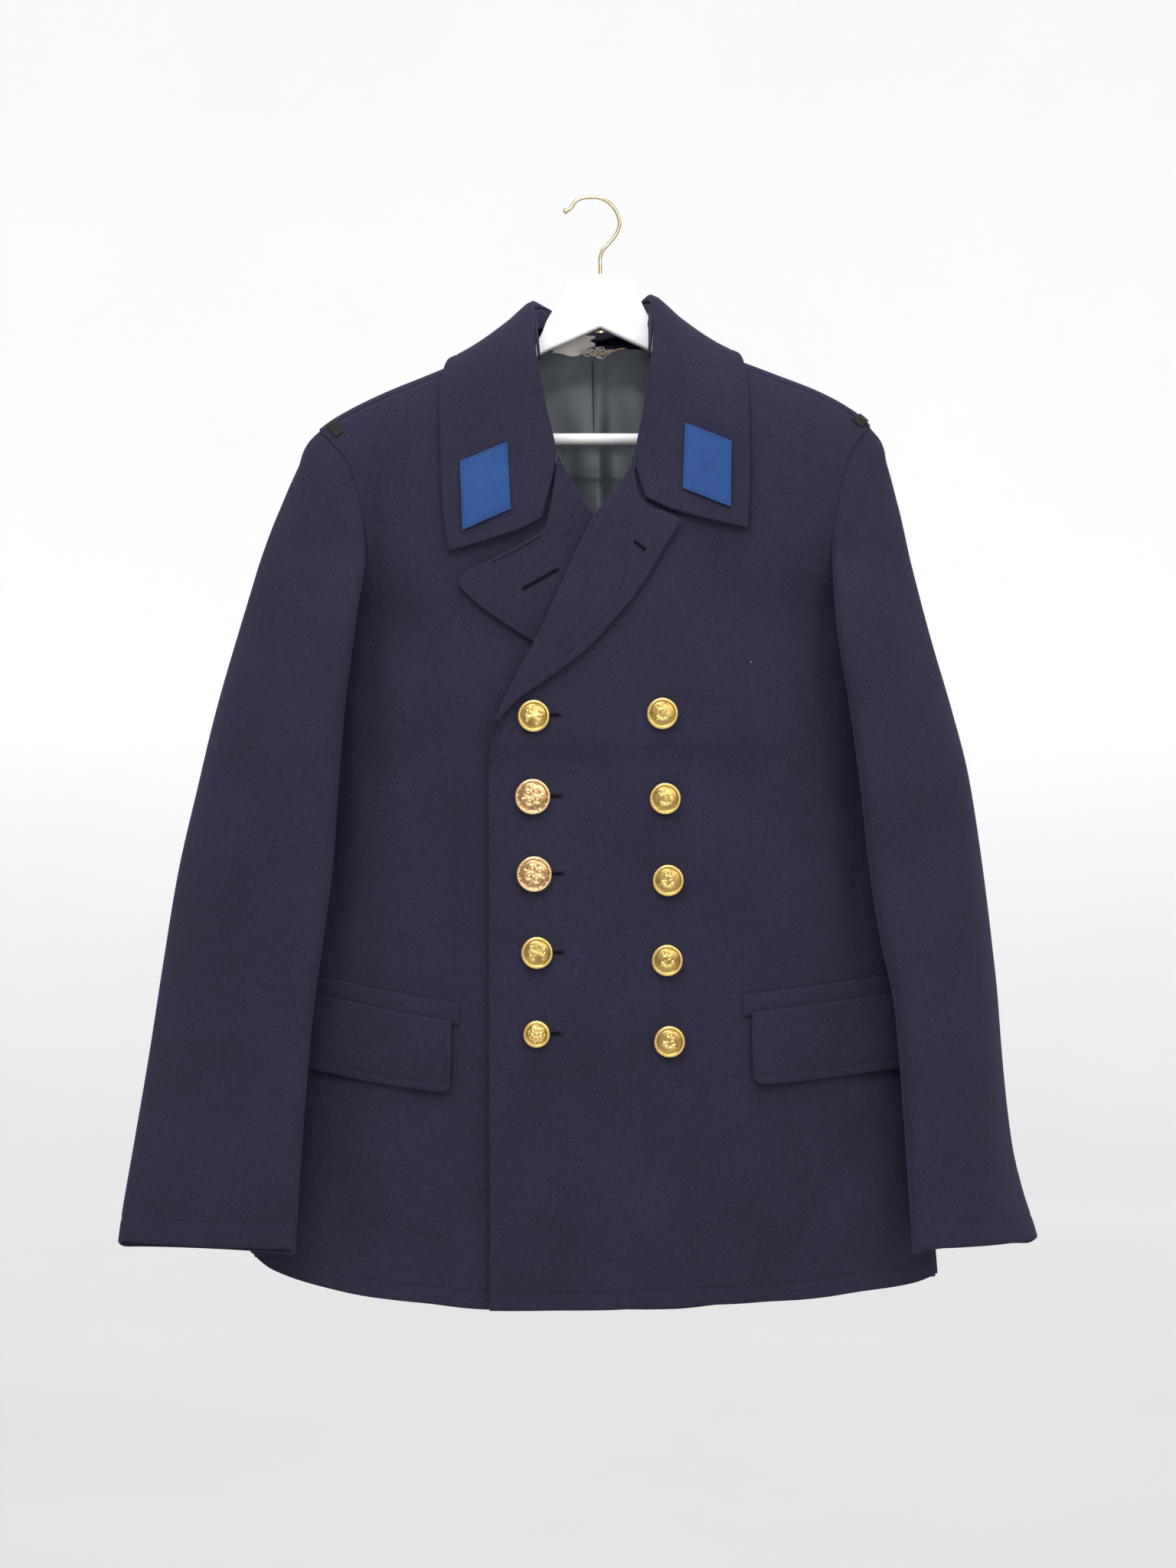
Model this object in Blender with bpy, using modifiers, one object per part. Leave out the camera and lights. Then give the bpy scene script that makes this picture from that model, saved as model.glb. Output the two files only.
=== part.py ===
"""A double-breasted uniform jacket on its wooden hanger.

+Z is up, +X is the wearer's left, and the front faces -Y. The origin is where the hook rests
on a rail: the underside of the top of its bend. Left and right are the wearer's own.
The sizes below are in millimetres, and MM turns them into Blender's metres.
"""

import math

import bmesh
import bpy
import numpy as np
from mathutils import Vector

MM = 0.001
LEFT, RIGHT = 1, -1
FRONT, BACK = -1, 1
SIDES = {LEFT: "left", RIGHT: "right"}

# Cloth layers. A lift is the height of a layer's outer face above the body's outer surface.
CLOTH = 3.0
THIN = 0.8
GAP = 0.5
SEAM = 1.0
PAD = 2.0
PAD_LIFT = -(CLOTH + 4 * GAP)
LINING_LIFT = PAD_LIFT - PAD - 2 * GAP
FACING_DROP = CLOTH + 3 * GAP
OVERLAP_LIFT = 2 * CLOTH + THIN + 2 * GAP
CROSSING_LIFT = OVERLAP_LIFT + CLOTH + 2 * GAP
FOLD_LIFT = CLOTH + 4 * GAP
PATCH_CLEAR = 1.0 + 2 * GAP + 0.7
ROWS_TO_TOP = 1.8
TRIM = 1.2

# The body of the jacket.
SHOULDER_ROUND = 60.0
SHOULDER_SEAM = 6.0
SHOULDER_END = 219.0
HEM = -873.0
ARMPIT = -336.0
FRONT_EDGE = 81.0
ROLL_START = -416.0
NECK_TOP = -114.0
NECK_SEAM = -112.0

# Hanger and hook.
WIRE = 1.5
SHANK_X = 4.8
BALL = 2.6
BOARD = 12.0
BORE = 2.1
BAR_RADIUS = 4.6
BAR_Z = -190.0
BAR_HALF = 178.0

# Buttons: two hand-sewn columns of five, from the top down, as x, z and diameter.
BUTTONS = {
    "inner": ((-46.8, -410.4, 24.8), (-47.6, -472.8, 27.6), (-46.4, -532.7, 27.6),
              (-44.3, -593.8, 24.8), (-44.6, -656.9, 21.0)),
    "outer": ((52.7, -408.5, 24.4), (55, -474.3, 24.4), (57.3, -537.7, 24.4),
              (56.6, -599.7, 24.4), (58.4, -662.8, 24.4)),
}
BUTTON_HEIGHT = 5.0
BUTTON_CLEAR = 1.2
SHANK_RADIUS = 1.3
HOLE_LENGTH, HOLE_HEIGHT, HOLE_START = 24.0, 3.6, 3.0

# Pocket flaps and sleeves.
FLAP = 57.0
WELT = 17.0
BAG_DEPTH = 150.0
SLEEVE_HINGE = -345.0
HINGE_GAP = 0.8
CUFF = {FRONT: -822.0, BACK: -834.0}


def profile(*points):
    """A smooth curve through (key, value) points that never overshoots them."""
    keys, values = (np.array(column, float) for column in zip(*sorted(points)))
    steps = np.diff(keys)
    slopes = np.diff(values) / steps
    tangents = np.zeros(len(keys))
    tangents[0], tangents[-1] = slopes[0], slopes[-1]
    for i in range(1, len(keys) - 1):
        if slopes[i - 1] * slopes[i] > 0:
            tangents[i] = 2 / (1 / slopes[i - 1] + 1 / slopes[i])

    def value(key):
        key = np.clip(key, keys[0], keys[-1])
        i = np.clip(np.searchsorted(keys, key, side="right") - 1, 0, len(steps) - 1)
        t = (key - keys[i]) / steps[i]
        start = (1 + 2 * t) * (1 - t) ** 2 * values[i] + t * (1 - t) ** 2 * steps[i] * tangents[i]
        end = t * t * (3 - 2 * t) * values[i + 1] + t * t * (t - 1) * steps[i] * tangents[i + 1]
        return start + end

    return value


def smooth(x, low, high):
    """0 up to low, 1 from high, and a smooth rise between them."""
    t = np.clip((x - low) / (high - low), 0, 1)
    return t * t * (3 - 2 * t)


def mix(a, b, share):
    return a + (b - a) * share


# --- The body's outer surface ---------------------------------------------------------------

# Height of the shoulder ridge over x, then half-width, depths and side shift of the body over z.
ridge = profile((-219, -183), (-205, -173), (-170, -155), (-126, -137), (-60, -109), (-30, -92),
                (0, -86), (30, -91), (60, -107), (139, -137), (182, -154), (212, -172), (219, -179))
side = profile((-900, 275), (-850, 272), (-800, 267), (-700, 256), (-600, 245), (-500, 234),
               (-420, 228), (ARMPIT, 224), (-290, 245), (-180, 300))
depths = {
    FRONT: profile((-870, 48), (-600, 55), (-420, 60), (-250, 54), (-160, 46), (-90, 38)),
    BACK: profile((-890, 30), (-600, 36), (-420, 42), (-250, 44), (-160, 42), (-90, 36)),
}
side_shift = profile((-890, 10), (-600, 18), (ARMPIT, 22), (-260, 9), (-180, 4))
hem = {
    FRONT: profile((-274, -835), (-254, -847), (-201, -861), (-134, -869), (-82, -873), (0, -872),
                   (75, -869), (149, -867), (210, -862), (253, -857), (272, -852)),
    BACK: profile((-274, -838), (-200, -862), (-100, -876), (0, -883), (60, -883), (120, -877),
                  (200, -868), (274, -854)),
}
armhole = {
    (RIGHT, FRONT): profile((-183, 219), (-198, 204), (-211, 194), (-225, 189), (-247, 183),
                            (-284, 180), (-308, 188), (-328, 208), (ARMPIT, 223)),
    (LEFT, FRONT): profile((-180, 219), (-194, 208), (-206, 201), (-235, 193), (-272, 188),
                           (-298, 189), (-316, 198), (-329, 211), (ARMPIT, 223)),
}
for which in SIDES:
    armhole[which, BACK] = profile((-181, 219), (-200, 206), (-220, 198), (-255, 192), (-290, 191),
                                   (-315, 202), (-330, 214), (ARMPIT, 223))
# Inner edge of each front: its straight edge below, the lapel's roll line, and then the neck.
roll_line = {
    LEFT: profile((-890, -FRONT_EDGE), (ROLL_START - 40, -FRONT_EDGE), (ROLL_START, -75),
                  (-337, -38), (-258, -2), (-208, 31), (-161, 41), (-122, 46), (-90, 50)),
    RIGHT: profile((-890, -FRONT_EDGE), (ROLL_START - 40, -FRONT_EDGE), (ROLL_START, -75),
                   (-337, -38), (-258, -2), (-205, 28), (-159, 40), (-124, 44), (-90, 50)),
}


def over_shoulder(x, turn):
    """A point of the body by x and its turn over the shoulder: 0 on the ridge, -pi/2 where the
    front hangs straight and pi/2 where the back does, and further on below them."""
    angle = np.abs(turn)
    drop = np.where(angle < math.pi / 2, 1 - np.cos(angle), 1 + angle - math.pi / 2)
    z = ridge(x) - SHOULDER_ROUND * drop
    depth = np.where(turn < 0, -depths[FRONT](z), depths[BACK](z))
    share = np.clip(x / side(z), -1, 1)
    swell = np.sin(np.minimum(angle, math.pi / 2)) * np.sqrt(1 - share**2)
    return np.stack(np.broadcast_arrays(x, side_shift(z) * share**2 + depth * swell, z))


def turn_at(x, z, face):
    """The turn over the shoulder of the point at x and z on the front or the back."""
    drop = np.maximum(ridge(x) - z, 0) / SHOULDER_ROUND
    return face * np.where(drop < 1, np.arccos(1 - np.minimum(drop, 1)), drop - 1 + math.pi / 2)


def raised(x, turn, lift):
    """The point at x and turn, lifted square to the surface."""
    across = over_shoulder(x + 0.5, turn) - over_shoulder(x - 0.5, turn)
    along = over_shoulder(x, turn + 0.01) - over_shoulder(x, turn - 0.01)
    normal = np.cross(across, along, axis=0)
    return over_shoulder(x, turn) + lift * normal / np.linalg.norm(normal, axis=0)


def overlap_lift(x, z):
    """How far the left front stands off the body where it covers the right front and its lapel."""
    covered = -roll_line[RIGHT](z)
    over_edge = 1 - smooth(x, covered + 16, covered + 90)
    over_lapel = smooth(z, ROLL_START - 34, ROLL_START - 9)
    below_neck = 1 - smooth(z, -255, -185)
    return over_edge * mix(OVERLAP_LIFT, CROSSING_LIFT, over_lapel) * below_neck


def front_lift(which, x, z):
    return overlap_lift(x, z) if which == LEFT else 0 * x


# --- Objects --------------------------------------------------------------------------------


def start():
    """Empties the scene and makes the two collections."""
    for obj in list(bpy.data.objects):
        bpy.data.objects.remove(obj, do_unlink=True)
    made = []
    for name in ("uniform_jacket", "cutters"):
        collection = bpy.data.collections.new(name)
        bpy.context.scene.collection.children.link(collection)
        made.append(collection)
    return made


PARTS, CUTTERS = start()


def material(name, colour, roughness, metallic=0.0):
    made = bpy.data.materials.new(name)
    made.use_nodes = True
    shader = made.node_tree.nodes["Principled BSDF"]
    shader.inputs["Base Color"].default_value = (*colour, 1)
    shader.inputs["Roughness"].default_value = roughness
    shader.inputs["Metallic"].default_value = metallic
    return made


WOOL = material("navy_wool", (0.027, 0.025, 0.058), 0.92)
PATCH = material("blue_felt", (0.025, 0.105, 0.36), 0.9)
SATIN = material("green_satin", (0.03, 0.042, 0.045), 0.35)
CANVAS = material("canvas", (0.42, 0.38, 0.3), 0.9)
RIBBON = material("black_ribbon", (0.03, 0.029, 0.022), 0.6)
LABEL = material("label_cloth", (0.7, 0.63, 0.57), 0.8)
GOLD = material("gilt_brass", (0.83, 0.58, 0.2), 0.28, 1.0)
BRASS = material("hook_brass", (0.77, 0.66, 0.4), 0.3, 1.0)
PAINT = material("white_paint", (0.86, 0.86, 0.85), 0.35)


def add(name, data, finish, parent=None, collection=PARTS):
    obj = bpy.data.objects.new(name, data)
    collection.objects.link(obj)
    if finish:
        data.materials.append(finish)
    if parent:
        obj.parent = parent
        obj.matrix_parent_inverse = parent.matrix_world.inverted()
    return obj


def pivot(name, x, y, z, parent=None):
    """An empty on a joint's axis."""
    obj = add(name, None, None, parent)
    obj.matrix_world.translation = Vector((x, y, z)) * MM
    bpy.context.view_layer.update()
    return obj


def shell(name, size, shape, thickness, finish, parent, inside=None, ring=False):
    """A cloth piece: a flat grid of size (columns, rows) laid in space by shape(u, v) and thickened
    inwards. inside(points) gives a point on the inner side of each one. A ring closes on itself."""
    bm = bmesh.new()
    bmesh.ops.create_grid(bm, x_segments=size[0], y_segments=size[1], size=0.5)
    u, v = (np.array([vertex.co[axis] + 0.5 for vertex in bm.verts]) for axis in (0, 1))
    points = np.stack(np.broadcast_arrays(*shape(u, v)), axis=1)
    for vertex, point in zip(bm.verts, points):
        vertex.co = Vector(point) * MM
    if ring:
        bmesh.ops.remove_doubles(bm, verts=bm.verts, dist=0.02 * MM)
    bm.normal_update()
    outward = 0.0
    for face in bm.faces:
        centre = np.array(face.calc_center_median()) / MM
        inner = inside(centre) if inside else (centre[0], 4.0, centre[2] - 30)
        outward += face.normal.dot(Vector(centre - np.array(inner))) * face.calc_area()
    if outward < 0:
        bmesh.ops.reverse_faces(bm, faces=bm.faces)
    mesh = bpy.data.meshes.new(name)
    bm.to_mesh(mesh)
    bm.free()
    mesh.shade_smooth()
    obj = add(name, mesh, finish, parent)
    solid = obj.modifiers.new("thickness", "SOLIDIFY")
    solid.thickness = thickness * MM
    solid.offset = -1
    return obj


def cut(obj, cutter):
    hole = obj.modifiers.new(cutter.name, "BOOLEAN")
    hole.operation = "DIFFERENCE"
    hole.object = cutter
    cutter.hide_render = True
    cutter.display_type = "WIRE"


def box_cutter(name, centre, size, tilt=0.0):
    bm = bmesh.new()
    bmesh.ops.create_cube(bm, size=1.0)
    bmesh.ops.scale(bm, vec=Vector(size) * MM, verts=bm.verts)
    mesh = bpy.data.meshes.new(name)
    bm.to_mesh(mesh)
    bm.free()
    obj = add(name, mesh, None, collection=CUTTERS)
    obj.location = Vector(centre) * MM
    obj.rotation_euler.y = tilt
    return obj


def cylinder(name, radius, length, centre, axis, finish, parent=None, sides=20, collection=PARTS):
    bm = bmesh.new()
    bmesh.ops.create_cone(bm, cap_ends=True, segments=sides, radius1=radius * MM,
                          radius2=radius * MM, depth=length * MM)
    mesh = bpy.data.meshes.new(name)
    bm.to_mesh(mesh)
    bm.free()
    mesh.shade_smooth()
    mesh.set_sharp_from_angle(angle=math.radians(40))
    obj = add(name, mesh, finish, collection=collection)
    obj.rotation_euler = {"X": (0, math.pi / 2, 0), "Y": (math.pi / 2, 0, 0), "Z": (0, 0, 0)}[axis]
    obj.location = Vector(centre) * MM
    bpy.context.view_layer.update()
    if parent:
        world = obj.matrix_world.copy()
        obj.parent = parent
        obj.matrix_world = world
    return obj


# --- Hook and hanger ------------------------------------------------------------------------


def hook():
    """The brass hook: its wire, the ball on its tip and the head that holds it under the wood."""
    route_x = profile((0, -24), (0.07, -18.6), (0.14, -12.5), (0.22, -6), (0.3, 1), (0.38, 8),
                      (0.46, 14.4), (0.54, 18.9), (0.61, 20.2), (0.68, 18.4), (0.76, 12), (0.83, 7),
                      (0.9, SHANK_X), (1, SHANK_X))
    route_z = profile((0, -10), (0.07, -6), (0.14, -0.8), (0.22, 1.2), (0.3, WIRE), (0.38, -0.6),
                      (0.46, -5.2), (0.54, -12), (0.61, -19), (0.68, -26), (0.76, -34.8),
                      (0.83, -41), (0.9, -49), (1, -104))
    curve = bpy.data.curves.new("hook_wire", "CURVE")
    curve.dimensions = "3D"
    curve.bevel_depth = WIRE * MM
    curve.bevel_resolution = 2
    curve.use_fill_caps = True
    spline = curve.splines.new("POLY")
    steps = [0.9 * i / 28 for i in range(29)] + [1.0]
    spline.points.add(len(steps) - 1)
    for point, t in zip(spline.points, steps):
        point.co = (float(route_x(t)) * MM, 0, float(route_z(t)) * MM, 1)
    add("hook_wire", curve, BRASS)

    bm = bmesh.new()
    bmesh.ops.create_uvsphere(bm, u_segments=12, v_segments=8, radius=BALL * MM)
    mesh = bpy.data.meshes.new("hook_ball")
    bm.to_mesh(mesh)
    bm.free()
    mesh.shade_smooth()
    ball = add("hook_ball", mesh, BRASS)
    ball.location = Vector((-24 - BALL - 0.1, 0, -12.5)) * MM
    cylinder("hook_head", 4.0, 1.6, (SHANK_X, 0, -105.4), "Z", BRASS, sides=14)


hanger_top = profile((0, -60), (14, -61.5), (21, -65), (29, -79), (35, -95), (38.5, -107),
                     (45, -116), (58, -124), (80, -134), (122, -149), (165, -169), (195, -186),
                     (206, -195))
hanger_foot = profile((0, -101.5), (8, -104), (42, -122), (58, -135), (100, -158), (150, -178),
                      (162, -197), (178, -204), (192, -202), (206, -195))


def hanger(jacket):
    """The one-piece hanger: a flat board with a bore for the hook and two sockets for the bar."""
    curve = bpy.data.curves.new("hanger_body", "CURVE")
    curve.dimensions = "2D"
    curve.fill_mode = "BOTH"
    curve.extrude = BOARD / 2 * MM
    across = np.concatenate([np.linspace(-206, -150, 9), np.linspace(-135, -50, 5),
                             np.linspace(-44, 44, 17), np.linspace(50, 135, 5),
                             np.linspace(150, 206, 9)])
    top = [(x, float(hanger_top(abs(x)))) for x in across]
    foot = [(x, float(hanger_foot(abs(x)))) for x in across[1:-1]]
    outline = top + foot[::-1]
    spline = curve.splines.new("POLY")
    spline.use_cyclic_u = True
    spline.points.add(len(outline) - 1)
    for point, (x, z) in zip(spline.points, outline):
        point.co = ((x + SHANK_X * (1 - abs(x) / 206)) * MM, z * MM, 0, 1)
    flat = bpy.data.objects.new("hanger_outline", curve)
    PARTS.objects.link(flat)
    flat.rotation_euler.x = math.pi / 2
    bpy.context.view_layer.update()
    graph = bpy.context.evaluated_depsgraph_get()
    mesh = bpy.data.meshes.new_from_object(flat.evaluated_get(graph))
    mesh.transform(flat.matrix_world)
    bpy.data.objects.remove(flat, do_unlink=True)
    bm = bmesh.new()
    bm.from_mesh(mesh)
    bmesh.ops.remove_doubles(bm, verts=bm.verts, dist=0.01 * MM)
    bm.to_mesh(mesh)
    bm.free()
    board = add("hanger_body", mesh, PAINT, jacket)
    cut(board, cylinder("hook_bore", BORE, 60, (SHANK_X, 0, -82), "Z", None, collection=CUTTERS))
    sockets = cylinder("bar_sockets", BAR_RADIUS + 0.3, 2 * BAR_HALF + 0.6, (0, 0, BAR_Z), "X",
                       None, collection=CUTTERS)
    cut(board, sockets)
    cylinder("trouser_bar", BAR_RADIUS, 2 * BAR_HALF, (0, 0, BAR_Z), "X", PAINT, jacket)


# --- Body panels ----------------------------------------------------------------------------


def outer_edge(which, face, z):
    """Where a panel ends: at the armhole, and below it at the side seam."""
    return which * (np.where(z > ARMPIT, armhole[which, face](z), side(z) - 2) - SEAM)


def front_place(which, inner, u, v, margin=0.0):
    """x and z on a front between its inner edge, given over z, and its armhole and side."""
    v = 1 - (1 - v) ** ROWS_TO_TOP
    seam_drop = SHOULDER_SEAM + SEAM
    z_in = mix(HEM, NECK_TOP, v)
    z_out = mix(HEM, ridge(which * SHOULDER_END) - seam_drop, v)
    x = mix(inner(z_in), outer_edge(which, FRONT, z_out) - which * margin, np.sin(u * math.pi / 2))
    share = (x - inner(z_in)) / (outer_edge(which, FRONT, z_out) - inner(z_in))
    z = mix(z_in, z_out, share)
    chord = mix(NECK_TOP, ridge(which * SHOULDER_END) - seam_drop, share)
    z = z + (ridge(x) - seam_drop - chord) * v**4
    return x, z + (hem[FRONT](x) - HEM) * (1 - v) ** 6


def front_panel(which, jacket):
    def inner(z):
        return which * roll_line[which](z)

    def shape(u, v):
        x, z = front_place(which, inner, u, v)
        return raised(x, turn_at(x, z, FRONT), front_lift(which, x, z))

    return shell(f"front_{SIDES[which]}", (12, 17), shape, CLOTH, WOOL, jacket)


def facing(which, jacket):
    """The thin facing behind a front's edge."""
    def shape(u, v):
        z = mix(HEM + 8, -306, v)
        edge = roll_line[which](z)
        x = which * mix(edge + 3, edge + 70 - 25 * v, u)
        return raised(x, turn_at(x, z, FRONT), front_lift(which, x, z) - FACING_DROP)

    return shell(f"facing_{SIDES[which]}", (4, 16), shape, THIN, WOOL, jacket)


def back_turn(x, v, low, neck_end):
    """The turn of a back piece at height v. Its top is the neck seam in the middle, and from
    neck_end outwards a line just in front of the ridge."""
    neck = turn_at(x, NECK_SEAM + 0 * x, BACK)
    crest = -math.acos(1 - SHOULDER_SEAM / SHOULDER_ROUND)
    top = mix(neck, crest, smooth(np.abs(x), neck_end - 36, neck_end))
    bottom = turn_at(x, low, BACK)
    return mix(bottom, top, 1 - (1 - v) ** ROWS_TO_TOP)


def back_shape(which, inner, low, margin, lift, neck_end):
    def shape(u, v):
        reach = which * 200.0 + 0 * v
        for _ in range(3):
            z = over_shoulder(reach, back_turn(reach, v, low(reach), neck_end))[2]
            reach = outer_edge(which, BACK, z) - which * margin
        x = mix(which * inner, reach, (u + np.sin(u * math.pi / 2)) / 2)
        return raised(x, back_turn(x, v, low(x), neck_end), lift)

    return shape


def back_panel(which, jacket):
    shape = back_shape(which, SEAM / 2, hem[BACK], 0, 0, 66)
    return shell(f"back_{SIDES[which]}", (15, 15), shape, CLOTH, WOOL, jacket)


def back_lining(jacket):
    """The one-piece back lining, which the open neck shows."""
    halves = {which: back_shape(which, 0, lambda x: hem[BACK](x) + 14, 10, LINING_LIFT, 76)
              for which in SIDES}

    def shape(u, v):
        return np.where(u < 0.5, halves[RIGHT](1 - 2 * np.minimum(u, 0.5), v),
                        halves[LEFT](2 * np.maximum(u, 0.5) - 1, v))

    return shell("back_lining", (30, 15), shape, THIN, SATIN, jacket)


def front_lining(which, jacket):
    def inner(z):
        return which * np.maximum(roll_line[which](z) + 76, 60)

    def shape(u, v):
        x, z = front_place(which, inner, u, 0.02 + 0.93 * v, 10)
        return raised(x, turn_at(x, z, FRONT), LINING_LIFT - GAP)

    return shell(f"front_lining_{SIDES[which]}", (6, 12), shape, THIN, SATIN, jacket)


def shoulder_pad(which, jacket):
    def shape(u, v):
        x = which * mix(96, 196 + 18 * np.cos((v - 0.5) * math.pi), u)
        return raised(x, mix(-1.3, 1.1, v), PAD_LIFT)

    return shell(f"shoulder_pad_{SIDES[which]}", (6, 10), shape, PAD, CANVAS, jacket)


# --- Collar, lapels and trim ----------------------------------------------------------------

# The top collar runs from the right front, -1, round the neck to the left front, 1. Its rows
# reach from the roll of the neck out to the collar's outer edge.
collar_roll_x = profile((-1, -40), (-0.85, -29.5), (-0.7, -37), (-0.5, -45), (-0.36, -47),
                        (-0.2, -34), (0, 0), (0.2, 34), (0.36, 47), (0.5, 46), (0.7, 38),
                        (0.85, 31.5), (1, 39))
collar_edge_x = profile((-1, -114), (-0.85, -118), (-0.6, -120), (-0.36, -112), (-0.2, -66), (0, 0),
                        (0.2, 66), (0.36, 112), (0.6, 120), (0.85, 121), (1, 120))


def front_turn(x, z):
    return float(turn_at(float(x), float(z), FRONT))


collar_roll_turn = profile((-1, front_turn(-40, -257)), (-0.85, front_turn(-29, -207)),
                           (-0.7, front_turn(-38, -168)), (-0.5, front_turn(-45, -124)), (-0.36, 0),
                           (-0.2, 0.55), (0, 0.8), (0.2, 0.55), (0.36, 0),
                           (0.5, front_turn(46, -122)), (0.7, front_turn(38, -168)),
                           (0.85, front_turn(31, -209)), (1, front_turn(39, -241)))
collar_edge_turn = profile((-1, front_turn(-114, -283)), (-0.85, front_turn(-118, -240)),
                           (-0.6, front_turn(-120, -170)), (-0.36, 0), (-0.2, 1.25), (0, 1.5),
                           (0.2, 1.25), (0.36, 0), (0.6, front_turn(120, -165)),
                           (0.85, front_turn(121, -222)), (1, front_turn(120, -266)))
collar_roll_height = profile((-1, 0), (-0.7, 1), (-0.36, 16), (-0.2, 22), (0, 24), (0.2, 22),
                             (0.36, 18), (0.7, 1), (1, 0))


def collar_place(t, u):
    """x and turn on the collar: t runs round the neck and u from the roll to the outer edge."""
    return mix(collar_roll_x(t), collar_edge_x(t), u), mix(collar_roll_turn(t), collar_edge_turn(t), u)


def collar_lift(t, u):
    """The collar's height: it stands up at its roll and lies down at its outer edge."""
    x, turn = collar_place(t, u)
    z = over_shoulder(x, turn)[2]
    stand = collar_roll_height(t) * (1 - smooth(u, -0.3, 0.9))
    return FOLD_LIFT + 1.0 + stand + np.where(t > 0.5, overlap_lift(x, z), 0)


def top_collar(jacket):
    def shape(u, v):
        t = 2 * v - 1
        x, turn = collar_place(t, u)
        return raised(x, turn, collar_lift(t, u))

    return shell("top_collar", (5, 34), shape, CLOTH, WOOL, jacket)


def collar_stand(jacket):
    """The band inside the collar, from the neck seam up to the roll."""
    def shape(u, v):
        t = mix(-0.5, 0.5, v)
        x = collar_roll_x(t) * 0.94
        low = np.array(raised(x, collar_roll_turn(t) * 1.12, -2.5))
        high = np.array(raised(x, collar_roll_turn(t), collar_lift(t, 0) - CLOTH - 1.0))
        return mix(low, high, u)

    return shell("collar_stand", (2, 22), shape, 1.6, WOOL, jacket, lambda p: (0, 0, p[2]))


PATCH_CORNERS = {LEFT: ((70, -183), (106, -197), (68, -234), (105, -248)),
                 RIGHT: ((-67, -198), (-103.5, -213), (-64, -250), (-101, -266))}


def collar_patch(which, jacket):
    """A felt patch sewn on the collar's front."""
    top_in, top_out, low_in, low_out = (np.array(corner, float) for corner in PATCH_CORNERS[which])

    def shape(u, v):
        low = mix(low_in[:, None], low_out[:, None], u)
        flat = mix(low, mix(top_in[:, None], top_out[:, None], u), v)
        lift = FOLD_LIFT + PATCH_CLEAR + TRIM + front_lift(which, *flat)
        return raised(flat[0], turn_at(flat[0], flat[1], FRONT), lift)

    return shell(f"collar_patch_{SIDES[which]}", (4, 5), shape, TRIM, PATCH, jacket)


# Outer outline of each lapel, from the collar seam (0) round its tip (0.3) to the roll's start (1).
lapel_edge_x = {
    LEFT: profile((0, 30), (0.15, 36.5), (0.3, 66), (0.4, 53), (0.5, 37.5), (0.6, 15), (0.7, -8),
                  (0.8, -32.5), (0.9, -57), (1, -77)),
    RIGHT: profile((0, -28.5), (0.15, -38), (0.3, -106), (0.4, -95), (0.5, -73), (0.6, -47),
                   (0.7, -16), (0.8, 16), (0.9, 46), (1, 71)),
}
lapel_edge_z = {
    LEFT: profile((0, -209), (0.15, -244), (0.3, -259), (0.4, -282), (0.5, -308), (0.6, -337),
                  (0.7, -362), (0.8, -381), (0.9, -399), (1, -421)),
    RIGHT: profile((0, -208), (0.15, -263), (0.3, -304), (0.4, -319), (0.5, -336), (0.6, -353),
                   (0.7, -371), (0.8, -388), (0.9, -404), (1, -421)),
}


def lapel(which, jacket):
    def shape(u, v):
        z_in = mix(-210, -414, v**1.1)
        x_in = which * roll_line[which](z_in)
        x = mix(x_in, lapel_edge_x[which](v), 1 - u)
        z = mix(z_in, lapel_edge_z[which](v), 1 - u)
        return raised(x, turn_at(x, z, FRONT), front_lift(which, x, z) + FOLD_LIFT)

    return shell(f"lapel_{SIDES[which]}", (5, 16), shape, CLOTH, WOOL, jacket)


def shoulder_loop(which, jacket):
    """The short ribbon loop sewn over the shoulder's end."""
    def shape(u, v):
        return raised(which * mix(201, 209, u), mix(-0.62, 0.35, v), TRIM + GAP)

    return shell(f"shoulder_loop_{SIDES[which]}", (2, 5), shape, TRIM, RIBBON, jacket)


def neck_label(jacket):
    def shape(u, v):
        x = mix(-30, 10, u)
        return raised(x, turn_at(x, mix(-128, -113, v), BACK), LINING_LIFT - THIN - 4 * GAP)

    return shell("neck_label", (4, 3), shape, 0.5, LABEL, jacket)


# --- Pockets --------------------------------------------------------------------------------

# Each flap's top edge, as x and z at its front end and at its back end, which stops short of
# the sleeve that hangs over it, so that it can lift.
FLAP_ENDS = {LEFT: (121, -642, 218, -631.5), RIGHT: (112, -648, 205, -633.5)}
FLAP_CORNER = 0.16


def flap_line(which, share):
    """x and z along the top edge of a flap, from its front end to its back end."""
    x0, z0, x1, z1 = FLAP_ENDS[which]
    return which * mix(x0, x1, share), mix(z0, z1, share)


def flap_axis(which):
    """A point on the flap's hinge line and its direction: it touches the flap's bulge in front."""
    shares = np.linspace(0, 1, 21)
    x, z = flap_line(which, shares)
    points = raised(x, turn_at(x, z, FRONT), front_lift(which, x, z) + FOLD_LIFT)
    chord = points[:, -1] - points[:, 0]
    direction = chord / np.linalg.norm(chord)
    forward = np.cross(direction, (0, 0, 1.0))
    forward *= -np.sign(forward[1])
    bulge = ((points - points[:, :1]).T @ forward).max()
    return points[:, 0] + forward * (bulge + 0.2) + np.array((0, 0, 0.3)), direction


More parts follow.
